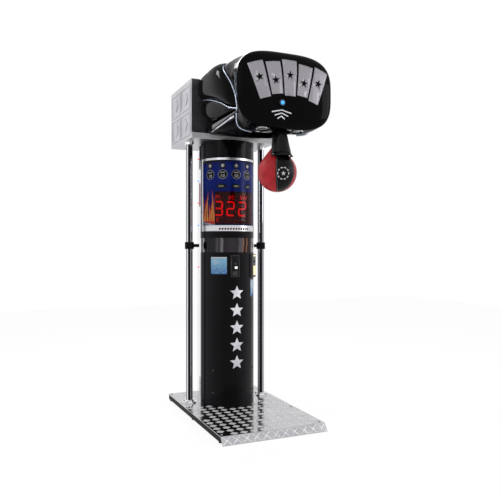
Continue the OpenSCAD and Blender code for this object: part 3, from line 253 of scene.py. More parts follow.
tread("tread_aluminium", (0.4, 0.4, 0.42), (0.52, 0.52, 0.54), (0.1, 0.17))
clear("lens_red", (0.55, 0.02, 0.03), (0.7, 0.04, 0.05), (0.02, 0.06))
leather("ball_red", (0.5, 0.01, 0.018), (0.8, 0.028, 0.042), 210, 0.5, (0.3, 0.42), 0.28)
leather("ball_black", (0.003, 0.003, 0.0035), (0.007, 0.007, 0.008), 150, 0.2, (0.22, 0.34), 0.11)
# Painted reflections: the poles, the column's black casing and the mirror band get studio bands painted into
# their colour
painted_reflections("tube_chrome_painted_reflection", -21, TUBE_REFLECTION_BANDS, 1.0, (0.05, 0.11))
painted_reflections("column_black_painted_reflection", VIEW_TURN, COLUMN_REFLECTION_BANDS, 0.0, (0.1, 0.17), 0.07)
painted_reflections("mirror_dark", VIEW_TURN, MIRROR_REFLECTION_BANDS, 1.0, (0.03, 0.07))
printed("panel_blue", (PANEL_Z, PANEL_TOP), 0.7, (16, 6, 0.6), 0.35, PANEL_PRINT,
        Roughness=0.15, Specular_IOR_Level=0.08)
label("label_pale", (0.01, 0.14, 0.5), (0.26, 0.6, 0.88), COIN_Z + 0.019, 55)
label("label_blue", (0.03, 0.22, 0.6), (0.55, 0.75, 0.92), SIDE_LABEL_Z, 60)

metal("zinc_fastener", (0.35, 0.35, 0.37), (0.55, 0.55, 0.57), (0.25, 0.4))
metal("zinc_sheet", (0.35, 0.36, 0.37), (0.55, 0.56, 0.58), (0.35, 0.5), (6, 6, 6), 6, 0.06)
metal("chrome", (0.8, 0.8, 0.83), (0.9, 0.9, 0.92), (0.02, 0.06), relief=0.004)
metal("trim_silver", (0.5, 0.51, 0.54), (0.7, 0.71, 0.74), (0.18, 0.32), (1, 1, 60), 9, 0.05)
metal("sheet_silver", (0.46, 0.46, 0.49), (0.58, 0.58, 0.61), (0.34, 0.44), (2, 2, 2), 5, 0.02)
metal("foot_silver", (0.06, 0.07, 0.11), (0.24, 0.27, 0.36), (0.3, 0.45), (1, 1, 1), 40, 0.02)
metal("art_silver", (0.26, 0.25, 0.27), (0.36, 0.35, 0.38), (0.4, 0.55), (60, 60, 60), 8, 0.05)
metal("star_silver", (0.42, 0.42, 0.46), (0.8, 0.8, 0.84), (0.25, 0.4), (1, 1, 1), 9, 0.02)
# The piping's silver-blue colour is a painted highlight along the glove's creases
metal("piping_painted_highlight", (0.3, 0.36, 0.48), (0.55, 0.6, 0.7), (0.2, 0.35), (30, 30, 30), 5, 0.05)
# The lip bars' lighter aluminium is a painted highlight: the plate's own metal, made lighter
metal("tread_bar_painted_highlight", (0.62, 0.62, 0.64), (0.8, 0.8, 0.82), (0.22, 0.32), (8, 8, 8), 7, 0.02)
metal("brass_latch", (0.55, 0.38, 0.12), (0.72, 0.54, 0.22), (0.2, 0.35))
metal("lamp_rim", (0.2, 0.2, 0.22), (0.34, 0.34, 0.36), (0.1, 0.18))

paint("glove_black", (0.002, 0.002, 0.0025), (0.004, 0.004, 0.005), (0.045, 0.075), 6,
      peel=0.01, specular=0.035)
paint("underside_black", (0.003, 0.003, 0.004), (0.007, 0.007, 0.009), (0.24, 0.34), 9,
      peel=0.03, specular=0.02)
# The cuffs' grey is a painted reflection: a light band on the black glove's lower facet
paint("cuff_painted_reflection", (0.055, 0.052, 0.06), (0.1, 0.095, 0.11), (0.2, 0.3), 9, coat=0.3)
paint("cover_black", (0.003, 0.003, 0.0035), (0.008, 0.0075, 0.009), (0.12, 0.2), specular=0.13)
paint("plate_black", (0.01, 0.01, 0.012), (0.018, 0.018, 0.021), (0.3, 0.42), 12, peel=0.03, specular=0.1)
paint("collar_black", (0.004, 0.004, 0.005), (0.009, 0.009, 0.011), (0.2, 0.3), 12, peel=0.03, specular=0.05)
paint("black_satin", (0.012, 0.012, 0.013), (0.03, 0.03, 0.032), (0.35, 0.5))
paint("dark_metal", (0.03, 0.03, 0.035), (0.06, 0.06, 0.065), (0.3, 0.45))
paint("rim_grey", (0.045, 0.042, 0.047), (0.075, 0.07, 0.078), (0.3, 0.45), 30)
# The tread pads' near-white paint is a painted highlight on the plate's raised aluminium tops
paint("tread_pad_painted_highlight", (0.8, 0.8, 0.82), (0.94, 0.94, 0.95), (0.26, 0.36), 30, peel=0.02, specular=0.8)
# The bottom trim is polished steel; its light grey paint is a painted reflection
paint("trim_painted_reflection", (0.62, 0.62, 0.64), (0.9, 0.9, 0.92), (0.22, 0.34), 7, peel=0.02, specular=0.8)
paint("rubber_black", (0.012, 0.012, 0.012), (0.03, 0.03, 0.03), (0.6, 0.8), peel=0.3)
paint("moulded_black", (0.012, 0.012, 0.013), (0.024, 0.024, 0.026), (0.3, 0.42), 50, peel=0.15)
paint("board_black", (0.012, 0.004, 0.004), (0.03, 0.008, 0.008), (0.3, 0.5), 40)
paint("circuit_green", (0.01, 0.06, 0.02), (0.02, 0.12, 0.05), (0.35, 0.5), 70)
paint("rocker_red", (0.45, 0.02, 0.02), (0.62, 0.04, 0.04), (0.2, 0.3))
paint("thread_grey", (0.2, 0.19, 0.19), (0.42, 0.4, 0.4), (0.6, 0.8), 60)
paint("print_black", (0.002, 0.002, 0.003), (0.005, 0.005, 0.006), (0.25, 0.4), 30, specular=0.1)
paint("print_grey", (0.36, 0.36, 0.37), (0.56, 0.56, 0.57), (0.4, 0.6), 60, specular=0.1)
paint("print_red", (0.07, 0.004, 0.008), (0.14, 0.01, 0.014), (0.3, 0.5), 60, specular=0.15)
paint("print_white", (0.7, 0.7, 0.7), (0.88, 0.88, 0.88), (0.4, 0.6), 40)
paint("flame_outer", (0.42, 0.018, 0.018), (0.62, 0.075, 0.045), (0.3, 0.5), 90, specular=0.1)
paint("flame_inner", (0.62, 0.16, 0.045), (0.8, 0.46, 0.12), (0.3, 0.5), 70, specular=0.1)
paint("label_light", (0.2, 0.42, 0.6), (0.42, 0.66, 0.8), (0.3, 0.5), 60)

glow("lit_white", (0.93, 0.94, 0.96), (1.0, 1.0, 1.0), scale=40)
glow("red_light", (0.8, 0.0, 0.02), (1.0, 0.03, 0.03))
glow("blue_light", (0.02, 0.25, 0.9), (0.05, 0.45, 1.0))
glow("digit_red", (0.62, 0.0, 0.012), (0.8, 0.002, 0.02), 0.95, 200)
glow("window_yellow", (0.85, 0.72, 0.3), (1.0, 0.93, 0.6), 0.55, 90)

# Finish of each CAD node
NODES = {
    "tread_aluminium": "base_plate", "underside_black": "base_frame", "rubber_black": "rubber_feet",
    "zinc_fastener": "plate_screws door_hinges flange_bolts swing_arm plunger",
    "column_black_painted_reflection": "cabinet_shell lower_ring top_band service_door",
    "black_satin": "core_sleeve cabinet_screws", "mirror_dark": "mirror_band",
    "panel_blue": "display_panel", "trim_silver": "panel_frame", "lens_red": "display_lens",
    "board_black": "display_board", "digit_red": "lit_segments",
    "chrome": "edge_strips door_lock pole_flanges", "red_light": "red_lights",
    "blue_light": "blue_lights start_button", "label_pale": "price_plate", "plate_black": "coin_plate",
    "dark_metal": "coin_mech coin_return_button head_front head_rear start_bezel arm_bracket",
    "moulded_black": "coin_return_flap note_reader mains_inlet strike_sensor loudspeaker",
    "zinc_sheet": "cash_box power_supply solenoid", "window_yellow": "reader_lights",
    "star_silver": "front_stars", "circuit_green": "main_board", "rocker_red": "mains_switch",
    "tube_chrome_painted_reflection": "poles", "collar_black": "pole_ties",
    "sheet_silver": "head_frame head_side_left head_side_right head_top", "trim_painted_reflection": "bottom_trim",
    "glove_black": "glove_shell glove_cowling", "lamp_rim": "fist_lamps", "ball_red": "punch_ball",
    "ball_black": "ball_panel", "cover_black": "ball_skirt", "brass_latch": "latch",
}
for finish, names in NODES.items():
    for name in names.split():
        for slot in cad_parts[name].material_slots:
            slot.material = M[finish]

# Stage: the camera, fitted to the photograph's base, poles and head
LENS, SENSOR, SHIFT = 42.016, 36, 0.0026

cam = bpy.data.objects.new("camera", bpy.data.cameras.new("camera"))
bpy.context.collection.objects.link(cam)
cam.location = CAMERA
cam.rotation_euler = (math.radians(90), 0, math.radians(VIEW_TURN))
cam.data.lens = LENS
cam.data.sensor_width = SENSOR
cam.data.sensor_fit = "HORIZONTAL"
cam.data.shift_x = SHIFT
cam.data.shift_y = -SHIFT
bpy.context.scene.camera = cam

# The camera's forward and right, and its focal length and the picture's middle in the frame's pixels
AHEAD = Vector((0.4003, 0.9164, 0)).normalized()
RIGHT = Vector((0.9164, -0.4003, 0)).normalized()
FOCAL, PICTURE_MID = 583.56, 248.7


def pixel_ray(u, v):
    """Direction from the camera through a point of the 500 by 500 frame."""
    return (AHEAD + RIGHT * (u - PICTURE_MID) / FOCAL + UP * (PICTURE_MID - v) / FOCAL).normalized()


def white_rays(nt):
    """1 for rays from the camera and for glossy and transmitted rays, 0 for all others."""
    path = node(nt, "ShaderNodeLightPath")
    share = path.outputs["Is Camera Ray"]
    for kind in ("Is Glossy Ray", "Is Transmission Ray"):
        either = node(nt, "ShaderNodeMath", operation="MAXIMUM")
        link(share, either.inputs[0])
        link(path.outputs[kind], either.inputs[1])
        share = either.outputs[0]
    return share


def mixed(nt, fac, low, high, output):
    """Sends to the output the shader low where fac is 0, and high where it is 1."""
    mix = node(nt, "ShaderNodeMixShader")
    link(fac, mix.inputs["Fac"])
    link(low.outputs[0], mix.inputs[1])
    link(high.outputs[0], mix.inputs[2])
    link(mix.outputs[0], nt.nodes[output].inputs["Surface"])


WHITE = (1, 1, 1, 1)
ROOM_LIGHT = 0.42
FLOOR_SIZE, FLOOR_DROP, FLOOR_GLOW, FLOOR_SHARE = 14, 0.0005, 1.1, 0.82

world = bpy.data.worlds.new("studio")
bpy.context.scene.world = world
world.use_nodes = True
nt = world.node_tree
dim = put(nt.nodes["Background"], Color=WHITE, Strength=ROOM_LIGHT)
bright = put(node(nt, "ShaderNodeBackground"), Color=WHITE, Strength=1.0)
mixed(nt, white_rays(nt), dim, bright, "World Output")

bpy.ops.mesh.primitive_plane_add(size=FLOOR_SIZE, location=(0, 0, -FLOOR_DROP))
floor = bpy.context.object
floor.name = "floor"
nt, pale = new_material("floor_pale")
put(pale, Base_Color=(0.9, 0.9, 0.9, 1), Roughness=0.9)
lit = put(node(nt, "ShaderNodeEmission"), Color=WHITE, Strength=FLOOR_GLOW)
share = node(nt, "ShaderNodeMath", operation="MULTIPLY")
link(white_rays(nt), share.inputs[0])
share.inputs[1].default_value = FLOOR_SHARE
mixed(nt, share.outputs[0], pale, lit, "Material Output")
floor.data.materials.append(M["floor_pale"])

# Lamps: name, place, what they point at, width, height and watts
LAMPS = [
    ("key", (-2.6, -3.2, 3.4), (0, -0.3, 1.3), 2.6, 2.0, 11),
    ("fill", (3.2, -2.4, 2.2), (0, -0.3, 1.2), 1.6, 1.6, 28),
    ("back", (0.6, 3.0, 3.2), (0, 0, 1.4), 2.0, 1.2, 22),
    ("window_left", (-2.47, -1.83, 2.44), (-0.2, -0.8, 1.8), 0.6, 1.1, 2),
    ("window_top", (-1.65, 0.97, 3.24), (-0.15, -0.5, 1.9), 0.34, 0.5, 12),
]
for name, place, target, width, height, watts in LAMPS:
    lamp = bpy.data.objects.new(name, bpy.data.lights.new(name, "AREA"))
    lamp.data.shape = "RECTANGLE"
    lamp.data.size = width
    lamp.data.size_y = height
    lamp.data.energy = watts
    lamp.location = place
    lamp.rotation_euler = (Vector(target) - Vector(place)).to_track_quat("-Z", "Y").to_euler()
    bpy.context.collection.objects.link(lamp)


# Building pieces. A shape is a pair of its vertices and its faces
def turns(n):
    """n equal angles round a circle, in radians."""
    return [2 * math.pi * k / n for k in range(n)]


def signed_power(v, p):
    return math.copysign(abs(v) ** p, v)


def smooth_stations(stations, steps):
    """Catmull-Rom through the stations' numbers."""
    out = []
    last = len(stations) - 1
    for i in range(last):
        p0, p1 = stations[max(i - 1, 0)], stations[i]
        p2, p3 = stations[i + 1], stations[min(i + 2, last)]
        for s in range(steps):
            t = s / steps
            out.append([0.5 * (2 * b + (c - a) * t + (2 * a - 5 * b + 4 * c - d) * t * t
                               + (3 * b - a - 3 * c + d) * t ** 3) for a, b, c, d in zip(p0, p1, p2, p3)])
    out.append(list(stations[-1]))
    return out


def stacked(rings, tips):
    """A shape over equal rings of points, with a fan from a ring to a point for each of the tips."""
    n = len(rings[0])
    verts = [p for ring in rings for p in ring]
    faces = [(i * n + j, i * n + (j + 1) % n, (i + 1) * n + (j + 1) % n, (i + 1) * n + j)
             for i in range(len(rings) - 1) for j in range(n)]
    for i, tip in tips:
        faces += [(len(verts), i * n + j, i * n + (j + 1) % n) for j in range(n)]
        verts.append(tip)
    return verts, faces


def loft(rings):
    """A closed shape over equal rings, with a fan to the middle of each end."""
    return stacked(rings, [(i, sum((Vector(p) for p in rings[i]), Vector()) / len(rings[i]))
                           for i in (0, len(rings) - 1)])


def box(lo, hi):
    """A box between two corners in millimetres."""
    verts = [Vector((x, y, z)) / 1000 for x in (lo[0], hi[0]) for y in (lo[1], hi[1]) for z in (lo[2], hi[2])]
    return verts, [(0, 1, 3, 2), (4, 6, 7, 5), (0, 4, 5, 1), (2, 3, 7, 6), (0, 2, 6, 4), (1, 5, 7, 3)]


def rod(p, axis, r, length, sides=48):
    """A round rod in millimetres, from p along the axis."""
    p, axis = Vector(p), Vector(axis)
    turn = UP.rotation_difference(axis).to_matrix()
    ring = [turn @ Vector((r * math.cos(a), r * math.sin(a), 0)) for a in turns(sides)]
    return loft([[(p + q) / 1000 for q in ring], [(p + q + axis * length) / 1000 for q in ring]])


def prism(outline, y0, y1):
    """A plate between two distances along Y, from its outline in X and Z, in millimetres."""
    n = len(outline)
    verts = [Vector((x, y, z)) / 1000 for y in (y0, y1) for x, z in outline]
    faces = [tuple(range(n - 1, -1, -1)), tuple(range(n, 2 * n))]
    return verts, faces + [(k, (k + 1) % n, n + (k + 1) % n, n + k) for k in range(n)]


def placed(shape, place):
    return [place @ v for v in shape[0]], shape[1]


def joined(shapes):
    verts, faces = [], []
    for v, f in shapes:
        faces += [tuple(i + len(verts) for i in face) for face in f]
        verts += v
    return verts, faces


def star_outline(cx, cz, r, points=5, turn=0.0, inner=0.42):
    return [(cx + r * (1 if k % 2 == 0 else inner) * math.sin(turn + math.pi * k / points),
             cz + r * (1 if k % 2 == 0 else inner) * math.cos(turn + math.pi * k / points))
            for k in range(2 * points)]


def point_faces_out(me):
    bm = bmesh.new()
    bm.from_mesh(me)
    bmesh.ops.recalc_face_normals(bm, faces=bm.faces)
    bm.to_mesh(me)
    bm.free()


def mesh_object(name, shape):
    me = bpy.data.meshes.new(name)
    me.from_pydata([tuple(v) for v in shape[0]], [], shape[1])
    o = bpy.data.objects.new(name, me)
    bpy.context.collection.objects.link(o)
    return o, me


def add_object(name, shape, finish, body="frame", smooth=True):
    """A piece that rides on a body, with the finish given by its name."""
    o, me = mesh_object(name, shape)
    me.validate()
    me.update()
    me.materials.append(M[finish])
    for p in me.polygons:
        p.use_smooth = smooth
    point_faces_out(me)
    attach(o, body)
    return o


def boolean(o, shapes, operation="DIFFERENCE"):
    """Takes each shape out of a piece, or keeps what lies in it."""
    for shape in shapes:
        cutter, me = mesh_object("cutter", shape)
        point_faces_out(me)
        cut = o.modifiers.new("cut", "BOOLEAN")
        cut.operation = operation
        cut.solver = "EXACT"
        cut.object = cutter
        result = bpy.data.meshes.new_from_object(o.evaluated_get(bpy.context.evaluated_depsgraph_get()))
        old = o.data
        o.modifiers.clear()
        o.data = result
        bpy.data.meshes.remove(old)
        bpy.data.objects.remove(cutter)


def tube(name, points, radius, finish, flat=1.0):
    """A rounded bead along points."""
    rings = []
    up = Vector((0.31, 0.17, 0.93)).normalized()
    for i, p in enumerate(points):
        t = (points[min(i + 1, len(points) - 1)] - points[max(i - 1, 0)]).normalized()
        side = t.cross(up)
        side = side.normalized() if side.length > 1e-4 else t.orthogonal().normalized()
        up = side.cross(t).normalized()
        rings.append([p + side * radius * math.cos(a) + up * radius * flat * math.sin(a)
                      for a in turns(12)])
    return add_object(name, loft(rings), finish)


# Glove: the same stations as the frame's. A station of the fist or wrist is [distance behind the fist's
# front, height above its underside, half width, half height, exponent, lean, pinch, bow], in millimetres
FIST_FRONT = 910
FIST_Z = 1700
HALF_W = 285
FACE_HALF_H, FACE_Z, FACE_N = 215.5, 214, 3.4
FILLET, FILLET_HALF_H, FILLET_N = 42, 205.8, 2.2
ROUND, ROUND_N = 87, 3.07
GLOVE_WALL, COWL_WALL, WRIST_LAP = 7, 6, 30
FIST_STATIONS = [
    (87, 215, 274, 216.5, 3.5, 0, 0.025, 0),
    (130, 222, 264, 223, 3.7, 5.7, 0.05, 0),
    (185, 228, 259, 237, 4.1, 15.5, 0.105, 12),
    (235, 230, 259, 246, 4.6, 23, 0.155, 28),
    (275, 228, 260, 252, 5.2, 28, 0.19, 45),
    (298, 226, 256, 254, 5.4, 30.4, 0.215, 58),
]
SEAM = (304, 226, 260, 256, 5.4, 30.4, 0.195, 60)
WRIST_STATIONS = [
    (285, 274, 185, 154, 4.6, 30.4, 0.1, 50),
    (310, 277, 208, 172, 4.6, 30.4, 0.1, 55),
    (340, 290, 234, 180, 4.6, 28, 0.09, 50),
    (385, 310, 253, 172, 4.5, 23.5, 0.04, 35),
    (470, 342, 261, 145, 4.2, 15, 0, 15),
    (600, 366, 262, 123, 3.8, 7, 0, 5),
    (710, 378, 258, 110, 3.6, 2, 0, 0),
    (770, 383, 250, 100, 3.4, 0, 0, 0),
    (800, 383, 250, 98, 3.4, 0, 0, 0),
]
# A station of a lobe, cuff or cowl is (distance behind the front, height, distance from the middle,
# half width, half height)
LOBE_STATIONS = [
    (170, 134, 186, 16, 4), (238, 138, 190, 26, 8), (310, 151, 192, 41, 18), (394, 172, 189, 49, 39),
    (520, 197, 187, 56, 62), (604, 213, 187, 57, 72), (685, 233, 187, 57, 68), (725, 248, 187, 54, 58),
    (748, 256, 187, 45, 42), (758, 260, 187, 14, 10),
]
CUFF_STATIONS = [
    (175, 113, 218, 14, 3), (310, 109, 194, 38, 7), (410, 106, 186, 46, 11), (510, 103, 184, 48, 14.5),
    (565, 101.5, 185, 47, 16),
]
COWL_STATIONS = [
    (150, 62, 0, 100, 14), (210, 72, 0, 150, 30), (300, 84, 0, 175, 46), (380, 88, 0, 190, 50),
    (490, 91, 0, 202, 49), (630, 105, 0, 206, 39), (770, 120, 0, 200, 30), (910, 122, 0, 198, 30),
]


def oval(x, back, up, a, c, n, lean=0.0, pinch=0.0, bow=0.0, sides=96):
    """A superellipse across X: it leans back, its sides draw in by the pinch, its middle bows forward."""
    lean = math.radians(lean)
    out = []
    for t in turns(sides):
        u = signed_power(math.cos(t), 2 / n)
        w = signed_power(math.sin(t), 2 / n)
        waist = 1 - w * w
        out.append(Vector((x + a * u * (1 - pinch * waist),
                           back - FIST_FRONT + c * w * math.sin(lean) - bow * waist,
                           FIST_Z + up + c * w * math.cos(lean))) / 1000)
    return out


def moved_ends(stations, first, last):
    out = [list(s) for s in stations]
    out[0][0] += first
    out[-1][0] += last
    return out


def shell_rings(stations, inset, steps):
    return [oval(0, back, up, a - inset, c - inset, *rest)
            for back, up, a, c, *rest in smooth_stations(stations, steps)]


def fist_rings(inset=0.0, front=14, steps=5):
    """Rings from the fist's rounded front to its seam, drawn in by the inset."""
    rings = []
    for i in range(1, front + 1):
        back = inset + (FILLET - inset) * (1 - math.cos(math.pi / 2 * i / front)) ** 1.15
        a = (HALF_W - inset) * (1 - ((FILLET - back) / (FILLET - inset)) ** FILLET_N) ** (1 / FILLET_N)
        c = (FACE_HALF_H - inset) * (1 - ((ROUND - back) / (ROUND - inset)) ** ROUND_N) ** (1 / ROUND_N)
        rings.append(oval(0, back, FACE_Z, a, c, FACE_N))
    start = [(FILLET, FACE_Z, HALF_W, FILLET_HALF_H, FACE_N, 0, 0, 0)]
    return rings + shell_rings(start + moved_ends(FIST_STATIONS, 0, -inset), inset, steps)[1:]


def wrist_rings(inset=0.0, steps=5):
    return shell_rings(moved_ends(WRIST_STATIONS, -WRIST_LAP if inset > 0 else 0, 0), inset, steps)


def cowl_rings(inset=0.0, past=0.0, steps=5):
    stations = smooth_stations(moved_ends(COWL_STATIONS, inset, past), steps)
    return [oval(0, back, up, a - inset, c - inset, 3) for back, up, _, a, c in stations]


def side_rings(stations, side, n):
    return [oval(side * x, back, up, a, c, n, sides=40) for back, up, x, a, c in smooth_stations(stations, 5)]


# Room that the shells leave, in millimetres: a slot underneath for the arm with a wider one for the ball
# behind it, the arm's bracket, the beam, the head box, the lamps and the start button
SLOT_FRONT, SLOT_STEP, SLOT_END, SLOT_LAP = -862, -657, -335.2, 1
ARM_SLOT_HALF, BALL_SLOT_HALF, BRACKET_HALF, BEAM_HALF = 55.5, 125, 109, 40
SLOT_FOOT, BRACKET_FOOT, BRACKET_TOP, BEAM_FOOT, BEAM_TOP = 1600, 1730, 1948, 1930, 2030
HEAD_HALF, HEAD_Y, HEAD_TOP = 400, -140.3, 2300
LAMP_XS, LAMP_Y, LAMP_Z, LAMP_HOLE_R = (-120, 95), -832, 1680, 34.3
BUTTON, BUTTON_Y, BUTTON_HOLE_R = (-40, 1837), -930, 12.3
COLUMN_HOLE_R = 186

SLOT = [
    box((-ARM_SLOT_HALF, SLOT_FRONT, SLOT_FOOT), (ARM_SLOT_HALF, SLOT_STEP, BRACKET_TOP)),
    box((-BALL_SLOT_HALF, SLOT_STEP - SLOT_LAP, SLOT_FOOT), (BALL_SLOT_HALF, SLOT_END, BRACKET_TOP)),
]
BRACKET_GAP = box((-BRACKET_HALF, SLOT_FRONT, BRACKET_FOOT), (BRACKET_HALF, SLOT_STEP, BRACKET_TOP))
BEAM_GAP = box((-BEAM_HALF, SLOT_STEP - SLOT_LAP, BEAM_FOOT), (BEAM_HALF, 0, BEAM_TOP))
HEAD_GAP = box((-HEAD_HALF, HEAD_Y, SLOT_FOOT), (HEAD_HALF, 100, HEAD_TOP))
FIST_INSIDE, WRIST_INSIDE = loft(fist_rings(GLOVE_WALL, 10, 3)), loft(wrist_rings(GLOVE_WALL, 3))

fist = add_object("glove_fist", loft(fist_rings()), "glove_black")
boolean(fist, [FIST_INSIDE, WRIST_INSIDE, BRACKET_GAP, BEAM_GAP] + SLOT)
boolean(fist, [rod((x, LAMP_Y, LAMP_Z), (0, 0, 1), LAMP_HOLE_R, 90) for x in LAMP_XS])
boolean(fist, [rod((BUTTON[0], BUTTON_Y, BUTTON[1]), (0, 1, 0), BUTTON_HOLE_R, 60)])
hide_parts("glove_shell")
wrist = add_object("glove_wrist", loft(wrist_rings()), "glove_black")
boolean(wrist, [WRIST_INSIDE, FIST_INSIDE, BEAM_GAP, HEAD_GAP] + SLOT)
cowl = add_object("glove_cowl", loft(cowl_rings()), "underside_black")
boolean(cowl, [loft(cowl_rings(COWL_WALL, 9, 3)), loft(fist_rings(-0.3)),
               rod((0, 0, SLOT_FOOT), (0, 0, 1), COLUMN_HOLE_R, 400), HEAD_GAP] + SLOT + [BRACKET_GAP])
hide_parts("glove_cowling")
SIDES = ((-1, "left"), (1, "right"))
for s, side in SIDES:
    add_object("glove_lobe_" + side, loft(side_rings(LOBE_STATIONS, s, 3)), "glove_black")
    # The cuff's grey finish is a painted reflection on the black glove
    add_object("glove_cuff_" + side, loft(side_rings(CUFF_STATIONS, s, 5)), "cuff_painted_reflection")

# Piping round the seam, open underneath where the ball's slot is, and along the lobes, its silver-blue a
# painted highlight along the glove's creases; silver strips along the cuffs, a painted highlight line, in
# metres
SEAM_POINTS = 160
SEAM_OPEN_HALF, SEAM_OPEN_Z = 0.135, 1.76
STRIP_X, STRIP_Z, STRIP_FALL = 0.231, 1.771, 0.063
SEAM_BEAD, LOBE_BEAD, STRIP_BEAD = 0.0042, 0.0036, 0.0055
STRIP_YS = (-0.35, -0.44, -0.53, -0.62, -0.70)

seam = oval(0, *SEAM, sides=SEAM_POINTS)
low = [i for i, p in enumerate(seam) if p.z < SEAM_OPEN_Z and abs(p.x) < SEAM_OPEN_HALF]
seam = [seam[(max(low) + 1 + i) % SEAM_POINTS] for i in range(SEAM_POINTS - len(low))]
tube("glove_piping", seam, SEAM_BEAD, "piping_painted_highlight")
for s, side in SIDES:
    rim = [Vector((s * (x + a * 0.86), b - FIST_FRONT, FIST_Z + up + c * 0.82)) / 1000
           for b, up, x, a, c in smooth_stations(LOBE_STATIONS, 6)]
    tube("lobe_piping_" + side, rim[4:-14], LOBE_BEAD, "piping_painted_highlight")
    strip = [Vector((s * STRIP_X, y, STRIP_Z - (y - STRIP_YS[0]) * STRIP_FALL)) for y in STRIP_YS]
    # The cuff's silver strip is a painted highlight line on the black glove
    tube("cuff_highlight_strip_" + side, strip, STRIP_BEAD, "trim_silver", flat=0.9)

# Artwork on the fist: silver blocks in a fan, each with a star cut out, and chevrons under the button.
# The fan's middle and radii are in millimetres, its angles in degrees
SKIN_YS = (-950, -790)
FAN_X, FAN_Z, FAN_BLOCKS = 8, 1392, 5
FAN_STEP, BLOCK_HALF = 8.6, 3.75
LONG_BLOCK, SHORT_BLOCK = (486, 682), (496, 670)
STAR_R, STAR_SHIFT = 24, 14
CHEVRONS = ((58, 1799), (40, 1783), (22, 1767))


def fist_skin(name, lift, depth, finish, outlines, holes=()):
    """A plate on the fist's front, cut to outlines in its X-Z plane."""
    o = add_object(name, loft(fist_rings(-lift, 14, 4)), finish)
    boolean(o, [loft(fist_rings(depth, 14, 4))])
    boolean(o, [joined([prism(p, *SKIN_YS) for p in outlines])], "INTERSECT")
    if holes:
        boolean(o, [joined([prism(p, SKIN_YS[0] - 10, SKIN_YS[1] + 10) for p in holes])])


def fan_point(r, a):
    return FAN_X + r * math.sin(a), FAN_Z + r * math.cos(a)


blocks, stars = [], []
for i in range(FAN_BLOCKS):
    lo, hi = SHORT_BLOCK if i % 2 else LONG_BLOCK
    mid = math.radians(FAN_STEP * (i - (FAN_BLOCKS - 1) / 2))
    half = math.radians(BLOCK_HALF)
    arc = [mid - half + 2 * half * k / 8 for k in range(9)]
    blocks.append([fan_point(hi, a) for a in arc] + [fan_point(lo, a) for a in reversed(arc)])
    star_mid = fan_point(0.5 * (lo + hi) + (-STAR_SHIFT if i % 2 else STAR_SHIFT), mid)
    stars.append(star_outline(*star_mid, STAR_R, turn=mid))
fist_skin("fan_blocks", 2.0, 1.0, "art_silver", blocks, stars)
chevrons = []
for w, z in CHEVRONS:
    edge = [(BUTTON[0] - w, z - 10), (BUTTON[0], z + 4), (BUTTON[0] + w, z - 10)]
    chevrons.append(edge + [(x, y - 7) for x, y in reversed(edge)])
fist_skin("button_chevrons", 1.4, 1.0, "trim_silver", chevrons)

# Base plate, in metres: rows of raised diamond pads on its top, and crossing bars on its lip
BASE_HALF = 0.325
BASE_FRONT, BASE_BACK = -0.740, 0.286
EDGE_RUN, EDGE_FOOT = 0.031, 0.001
POLE = (0.260, 0.012)
FLANGE_CLEAR, COLUMN_CLEAR = 0.070, 0.026
SCREW_X, SCREW_CLEAR = 0.302, 0.026
SCREW_YS = (BASE_FRONT + 0.035, (BASE_FRONT - POLE[1]) / 2 + 0.02, BASE_BACK - 0.021)
PAD_HALF, PAD_PITCH, PAD_H, PAD_MARGIN = 0.0245, 0.059, 0.0016, 0.0025
BAR_REACH, BAR_W, BAR_H = 0.92, 0.0052, 0.0018


def pad(half_x, half_y, height):
    """A low domed pad with a rounded diamond outline."""
    rings = [[Vector((scale * half_x * signed_power(math.cos(a), 1.75),
                      scale * half_y * signed_power(math.sin(a), 1.75), height * rise)) for a in turns(24)]
             for scale, rise in ((1.0, -0.15), (0.90, 0.35), (0.72, 0.72), (0.42, 0.93))]
    return stacked(rings, [(3, Vector((0, 0, height)))])


def bar(length, width, height):
    """A low rounded bar: its edge just under the plate, a shoulder and a ridge."""
    rings = [[Vector((scale * length / 2 * math.cos(a), scale ** 0.6 * width / 2 * math.sin(a), z))
              for a in turns(12)] for scale, z in ((1.0, -0.0004), (0.86, height * 0.7), (0.45, height))]
    return stacked(rings, [(2, Vector((0, 0, height * 1.03)))])


def free_of_feet(x, y):
    """Whether a pad there misses the column, the poles' flanges and the plate's screws."""
    if math.hypot(x, y) < COL_R + COLUMN_CLEAR:
        return False
    if any(math.hypot(x - s * POLE[0], y - POLE[1]) < FLANGE_CLEAR for s in (-1, 1)):
        return False
    return all(math.hypot(abs(x) - SCREW_X, y - screw_y) > SCREW_CLEAR for screw_y in SCREW_YS)


slope = math.atan2(BASE_H - EDGE_FOOT, EDGE_RUN)
slope_len = math.hypot(BASE_H - EDGE_FOOT, EDGE_RUN)
columns = int((BASE_HALF - PAD_HALF) / PAD_PITCH)
pad_xs = [i * PAD_PITCH for i in range(-columns, columns + 1)]
depth_rows = round((BASE_BACK - BASE_FRONT - 2 * PAD_HALF) / PAD_PITCH)
row_pitch = (BASE_BACK - BASE_FRONT - 2 * PAD_HALF - 2 * PAD_MARGIN) / depth_rows
pad_ys = [BASE_FRONT + PAD_HALF + PAD_MARGIN + j * row_pitch for j in range(depth_rows + 1)]
flat_pad = pad(PAD_HALF, row_pitch / PAD_PITCH * PAD_HALF, PAD_H)
